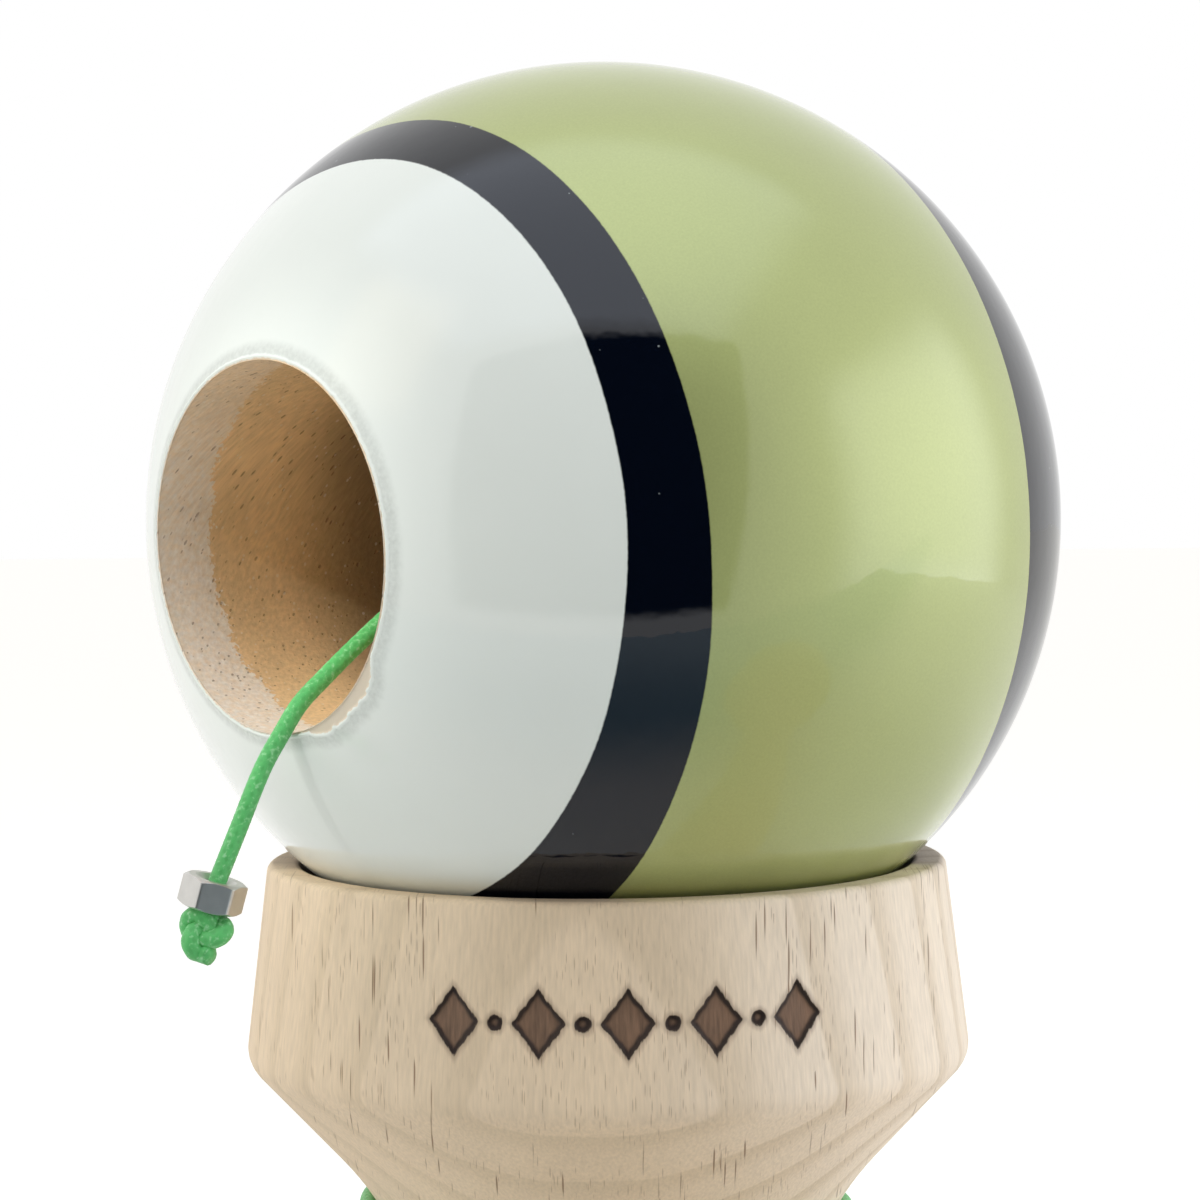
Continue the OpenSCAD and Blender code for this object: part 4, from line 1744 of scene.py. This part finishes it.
    def knot(self, name: str, middle: np.ndarray, axes: np.ndarray, size: float) -> bpy.types.Object:
        """Pulled overhand knot.

        Args:
            name: name of the piece.
            middle: the knot's middle.
            axes: the knot's own X, Y and Z in its rows.
            size: size of the knot, where 1 is the end knot's.

        Returns:
            The piece.
        """
        turn = np.radians(np.arange(self.knot_from, self.knot_to, self.knot_step))
        loops = np.column_stack((self.knot_spread * (np.sin(turn) + 2 * np.sin(2 * turn)),
                                 -self.knot_flat * np.sin(3 * turn),
                                 self.knot_spread * (np.cos(turn) - 2 * np.cos(2 * turn))))
        route = middle + size * np.vstack((self.knot_in, loops, self.knot_out)) @ axes
        braid = Braid(radius=self.knot_cord_r * size, relief=self.knot_relief * size)
        return braid.tube(name, through(route, self.fine_step), self.fine_sides)

    def end_knot(self, view_right: np.ndarray) -> bpy.types.Object:
        """Ties the knot under the nut.

        Args:
            view_right: direction that its broad face lies along.

        Returns:
            The piece.
        """
        up = self.tail_up()
        broad = unit(view_right - view_right.dot(up) * up)
        drop = self.nut_h / 2 + self.nut_gap + self.knot_len / 2
        middle = self.nut_mid() - drop * up + self.knot_aside * broad
        return self.knot("end_knot_tied", middle, np.array([broad, np.cross(up, broad), up]), 1.0)

    def anchor_knot(self) -> bpy.types.Object:
        """Ties the knot in the sarado's pocket.

        Returns:
            The piece.
        """
        inward = np.array([1.0, 0.0, 0.0])
        axes = np.array([[0.0, -1.0, 0.0], [0.0, 0.0, 1.0], -inward])
        middle = KEN_MID + self.root_route[-1] + self.knot_len / 2 * inward
        return self.knot("anchor_knot_tied", middle, axes, self.anchor_size)

    def build(self, nut: StopperNut, view_right: np.ndarray) -> None:
        """Builds and dresses the string with its knots and nut.

        Args:
            nut: the nut on the string's end.
            view_right: direction that the end knot's broad face lies along.
        """
        finish = self.finish.material()
        braid = Braid(radius=self.cord_d / 2)
        main_path = through(self.main_points(), self.main_step)
        main = braid.tube("play_string", main_path, self.main_sides)
        tail_path = through(self.tail_points(), self.fine_step)
        tail = braid.tube("string_tail", tail_path, self.fine_sides)
        end_knot = self.end_knot(view_right)
        anchor = self.anchor_knot()
        steel_nut = nut.build(self.nut_mid(), self.nut_axes(view_right))
        for piece in (main, tail, end_knot, anchor):
            piece.data.materials.append(finish)

        hand_over(tail, Body.STRING_END, Slot.STRING, "cord_tail")
        hand_over(end_knot, Body.STRING_END, Slot.STRING, "end_knot")
        hand_over(anchor, Body.SARADO, Slot.STRING, "anchor_knot")
        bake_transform(main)
        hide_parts("cord_lead", "cord_winding", "cord_root")
        log.info("%s: %d faces, from the sarado to the ball", main.name, len(main.data.polygons))


# Studio

@dataclass(frozen=True)
class Panel:
    """Bright panel of the tent, placed from the ball along the view's right, up and near directions."""

    name: str
    middle: Triple
    half_across: Triple
    half_along: Triple
    colour: Triple
    strength: float
    edge_soft: float = 0.5


def aimed(place: np.ndarray | Triple, right: np.ndarray, back: np.ndarray) -> Matrix:
    """Where a camera or a lamp stands, and which way it is turned.

    Args:
        place: its place in millimetres.
        right: direction to its right.
        back: direction behind it.

    Returns:
        Its matrix.
    """
    turned = Matrix(np.column_stack((right, np.cross(back, right), back)).tolist()).to_4x4()
    return Matrix.Translation([float(x) * MM for x in place]) @ turned


@dataclass
class Studio:
    """White light tent with a dark front opening, a pale floor, and the camera."""

    # Camera
    eye: Triple = (-151.8, -166.4, 96.87)
    right: Triple = (0.7392, -0.6734, -0.0098)
    up: Triple = (0.0395, 0.0288, 0.9988)
    lens: float = 102.22
    sensor: float = 36.0
    clip: float = 10.0
    # Floor
    floor_front: float = 200.0
    floor_back: float = 2600.0
    floor_side: float = 1600.0
    floor_colour: Triple = (0.84, 0.84, 0.84)
    floor_lift: float = 0.32
    lift_rise: Pair = (100.0, 210.0)
    paper_scale: float = 0.9
    paper_tone: Pair = (0.98, 1.02)
    paper_rough: float = 0.9
    near_colour: Triple = (0.28, 0.42, 0.50)
    near_rise: Pair = (50.0, 105.0)
    near_light: float = 0.5
    # Front opening
    opening_at: float = 700.0
    opening: tuple[Pair, ...] = ((-0.765, -0.45), (0.62, -0.45), (0.866, 1.12), (-0.765, 0.925))
    opening_soft: float = 0.07
    opening_light: float = 0.32
    # Tent's own light
    light: float = 1.08
    tint: Triple = (1.0, 0.985, 0.945)
    lean_right: float = -0.2
    lean_up: float = -0.4
    # Lamp at the ball's hole
    lamp_from: Triple = (-0.75, -0.12, 0.65)
    lamp_away: float = 300.0
    lamp_aim: float = 25.0
    lamp_drop: float = 3.0
    lamp_cone: float = 4.8
    lamp_watts: float = 2.6
    lamp_soft: float = 8.0
    # Bright panels
    panels: tuple[Panel, ...] = (
        Panel("overhead_panel", (-50, 450, 160), (400, 0, 0), (0, 0, 310), (0.70, 0.80, 1.0), 0.9, 0.3),
        Panel("side_panel", (520, 60, 60), (0, 330, 0), (0, 0, 330), (0.88, 0.91, 1.0), 1.55),
        Panel("left_panel", (-480, 380, 220), (-83, 0, -182), (105, 163, -48), (1.0, 0.85, 0.6), 1.2))

    def toward_eye(self) -> np.ndarray:
        """Returns the level direction from the toy to the camera."""
        return unit(np.array([self.eye[0], self.eye[1], 0.0]))

    def view_axes(self) -> np.ndarray:
        """Directions of the view from the ball.

        Returns:
            The directions to the right, up and toward the camera, one in each row.
        """
        toward = unit(np.array(self.eye) - BALL_MID)
        right = unit(self.right)
        return np.array([right, np.cross(toward, right), toward])

    def set_camera(self) -> None:
        """Puts the camera where the photograph was taken."""
        data = bpy.data.cameras.new("view")
        data.lens = self.lens
        data.sensor_width = self.sensor
        data.clip_start = self.clip * MM
        camera = bpy.data.objects.new("view", data)
        right = unit(self.right)
        back = unit(np.cross(right, unit(self.up)))
        camera.matrix_world = aimed(self.eye, right, back)
        bpy.context.scene.collection.objects.link(camera)
        bpy.context.scene.camera = camera
        log.info("camera at %s mm", self.eye)

    def seen(self, graph: Graph) -> Socket:
        """Tells what is looked at from what only gives light.

        Args:
            graph: the tree that asks.

        Returns:
            1 for the camera, a reflection or a clear piece, and 0 for light.
        """
        path = graph.add("LightPath").outputs
        mirrored = graph.math("MAXIMUM", path["Is Glossy Ray"], path["Is Transmission Ray"])
        return graph.math("MAXIMUM", path["Is Camera Ray"], mirrored)

    def sheet(self, name: str, corners: np.ndarray, material: bpy.types.Material) -> bpy.types.Object:
        """Flat sheet of the studio.

        Args:
            name: name of the sheet.
            corners: its four corners.
            material: its finish.

        Returns:
            The sheet.
        """
        mesh = bpy.data.meshes.new(name)
        mesh.from_pydata((corners * MM).tolist(), [], [tuple(range(len(corners)))])
        mesh.materials.append(material)
        sheet = bpy.data.objects.new(name, mesh)
        bpy.context.scene.collection.objects.link(sheet)
        return sheet

    def add_floor(self) -> None:
        """Lays the pale floor, which only the toy's reflections and light find darker in front."""
        graph = Graph(bpy.data.materials.new("floor_paper"))
        place = graph.place(ORIGIN)
        away = graph.add("VectorMath", {0: place}, operation="LENGTH").outputs["Value"]
        lift = graph.times(graph.step(away, *self.lift_rise), self.floor_lift)
        near = self.toward_eye()
        ahead = graph.dot(place, tuple(near))
        grain = graph.between(graph.noise(place, self.paper_scale), *self.paper_tone)
        path = graph.add("LightPath").outputs
        scattered = graph.times(path["Is Diffuse Ray"], self.near_light)
        unseen = graph.math("MAXIMUM", path["Is Glossy Ray"], scattered)
        shaded = graph.times(graph.step(ahead, *self.near_rise), unseen)
        paper = graph.mix(shaded, self.floor_colour, self.near_colour)
        graph.finish({
            "Base Color": graph.shade(paper, grain),
            "Roughness": self.paper_rough,
            "Specular IOR Level": 0.0,
            "Emission Color": WHITE,
            "Emission Strength": graph.times(lift, self.seen(graph)),
        })
        side = self.floor_side * np.array([-near[1], near[0], 0.0])
        front, back = self.floor_front * near, -self.floor_back * near
        corners = np.array([front - side, front + side, back + side, back - side])
        self.sheet("floor", corners, graph.owner)

    def add_opening(self) -> None:
        """Hangs the dark front opening that shows in the gloss."""
        graph = Graph(bpy.data.materials.new("dark_opening"))
        right, up, toward = self.view_axes()
        place = graph.place(BALL_MID)
        across = graph.dot(place, tuple(right / self.opening_at))
        height = graph.dot(place, tuple(up / self.opening_at))
        inside = 1.0
        for (x, y), (next_x, next_y) in zip(self.opening, self.opening[1:] + self.opening[:1]):
            edge = unit(np.array([next_x - x, next_y - y]))
            depth = graph.plus(graph.times(across, -edge[1]), graph.times(height, edge[0]))
            from_edge = graph.minus(depth, y * edge[0] - x * edge[1])
            inside = graph.times(graph.step(from_edge, 0.0, self.opening_soft), inside)
        glow = graph.times(graph.minus(1.0, self.seen(graph)), self.opening_light)
        room = graph.add("Emission", {"Color": WHITE, "Strength": glow}).outputs[0]
        clear = graph.add("BsdfTransparent").outputs[0]
        surface = graph.add("MixShader", {0: inside, 1: clear, 2: room}).outputs[0]
        graph.add("OutputMaterial", {"Surface": surface})
        corners = [BALL_MID + self.opening_at * (toward + x * right + y * up) for x, y in self.opening]
        self.sheet("front_opening", np.array(corners), graph.owner).visible_camera = False

    def add_panel(self, panel: Panel) -> None:
        """Hangs a bright panel that fades toward its edges.

        Args:
            panel: the panel.
        """
        view = self.view_axes()
        middle = BALL_MID + np.array(panel.middle) @ view
        across, along = (np.array(half) @ view for half in (panel.half_across, panel.half_along))
        graph = Graph(bpy.data.materials.new(panel.name))
        place = graph.place(middle)
        strength = panel.strength
        for side in (across, along):
            share = graph.math("ABSOLUTE", graph.dot(place, tuple(side / side.dot(side))))
            strength = graph.times(graph.step(share, 1.0, 1.0 - panel.edge_soft), strength)
        glow = graph.add("Emission", {"Color": panel.colour, "Strength": strength}).outputs[0]
        clear = graph.add("BsdfTransparent").outputs[0]
        surface = graph.add("AddShader", {0: clear, 1: glow}).outputs[0]
        graph.add("OutputMaterial", {"Surface": surface})
        corners = (middle - across - along, middle + across - along,
                   middle + across + along, middle - across + along)
        self.sheet(panel.name, np.array(corners), graph.owner).visible_camera = False

    def add_lamp(self) -> None:
        """Points a small soft lamp into the ball's hole."""
        data = bpy.data.lights.new("hole_lamp", "SPOT")
        data.energy = self.lamp_watts
        data.spot_size = math.radians(self.lamp_cone)
        data.spot_blend = 1.0
        data.shadow_soft_size = self.lamp_soft * MM
        lamp = bpy.data.objects.new("hole_lamp", data)
        back = unit(self.lamp_from)
        aim = BALL_MID + self.lamp_aim * HOLE_AXIS - self.lamp_drop * np.array(UPWARD)
        lamp.matrix_world = aimed(aim + self.lamp_away * back, unit(np.cross(UPWARD, back)), back)
        lamp.visible_glossy = False
        bpy.context.scene.collection.objects.link(lamp)

    def add_light(self) -> None:
        """Lights the tent from all round, a little more from the view's left and from below."""
        bpy.context.scene.world = bpy.data.worlds.new("tent")
        graph = Graph(bpy.context.scene.world)
        direction = graph.add("TexCoord").outputs["Generated"]
        rightward = graph.times(graph.dot(direction, self.right), self.lean_right)
        upward = graph.times(graph.dot(direction, self.up), self.lean_up)
        strength = graph.plus(graph.plus(rightward, upward), self.light)
        lit = graph.add("Background", {"Color": self.tint, "Strength": strength}).outputs[0]
        shown = graph.add("Background", {"Color": WHITE, "Strength": 1.0}).outputs[0]
        both = graph.add("MixShader", {0: self.seen(graph), 1: lit, 2: shown}).outputs[0]
        graph.add("OutputWorld", {"Surface": both})

    def build(self) -> None:
        """Builds the tent round the toy."""
        self.add_floor()
        self.add_opening()
        for panel in self.panels:
            self.add_panel(panel)
        self.add_lamp()
        self.add_light()
        bpy.context.scene.view_settings.view_transform = "Standard"
        log.info("studio: floor, front opening, panels and light")


def main() -> None:
    """Builds the camera, the pieces and the studio in order."""
    logging.basicConfig(level=logging.INFO, format="%(name)s: %(message)s")
    studio = Studio()
    studio.set_camera()
    PlayString().build(StopperNut(), np.array(studio.right))
    Tama().build()
    Sarado().build()
    Ken().build()
    studio.build()
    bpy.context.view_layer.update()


if __name__ == "__main__":
    main()
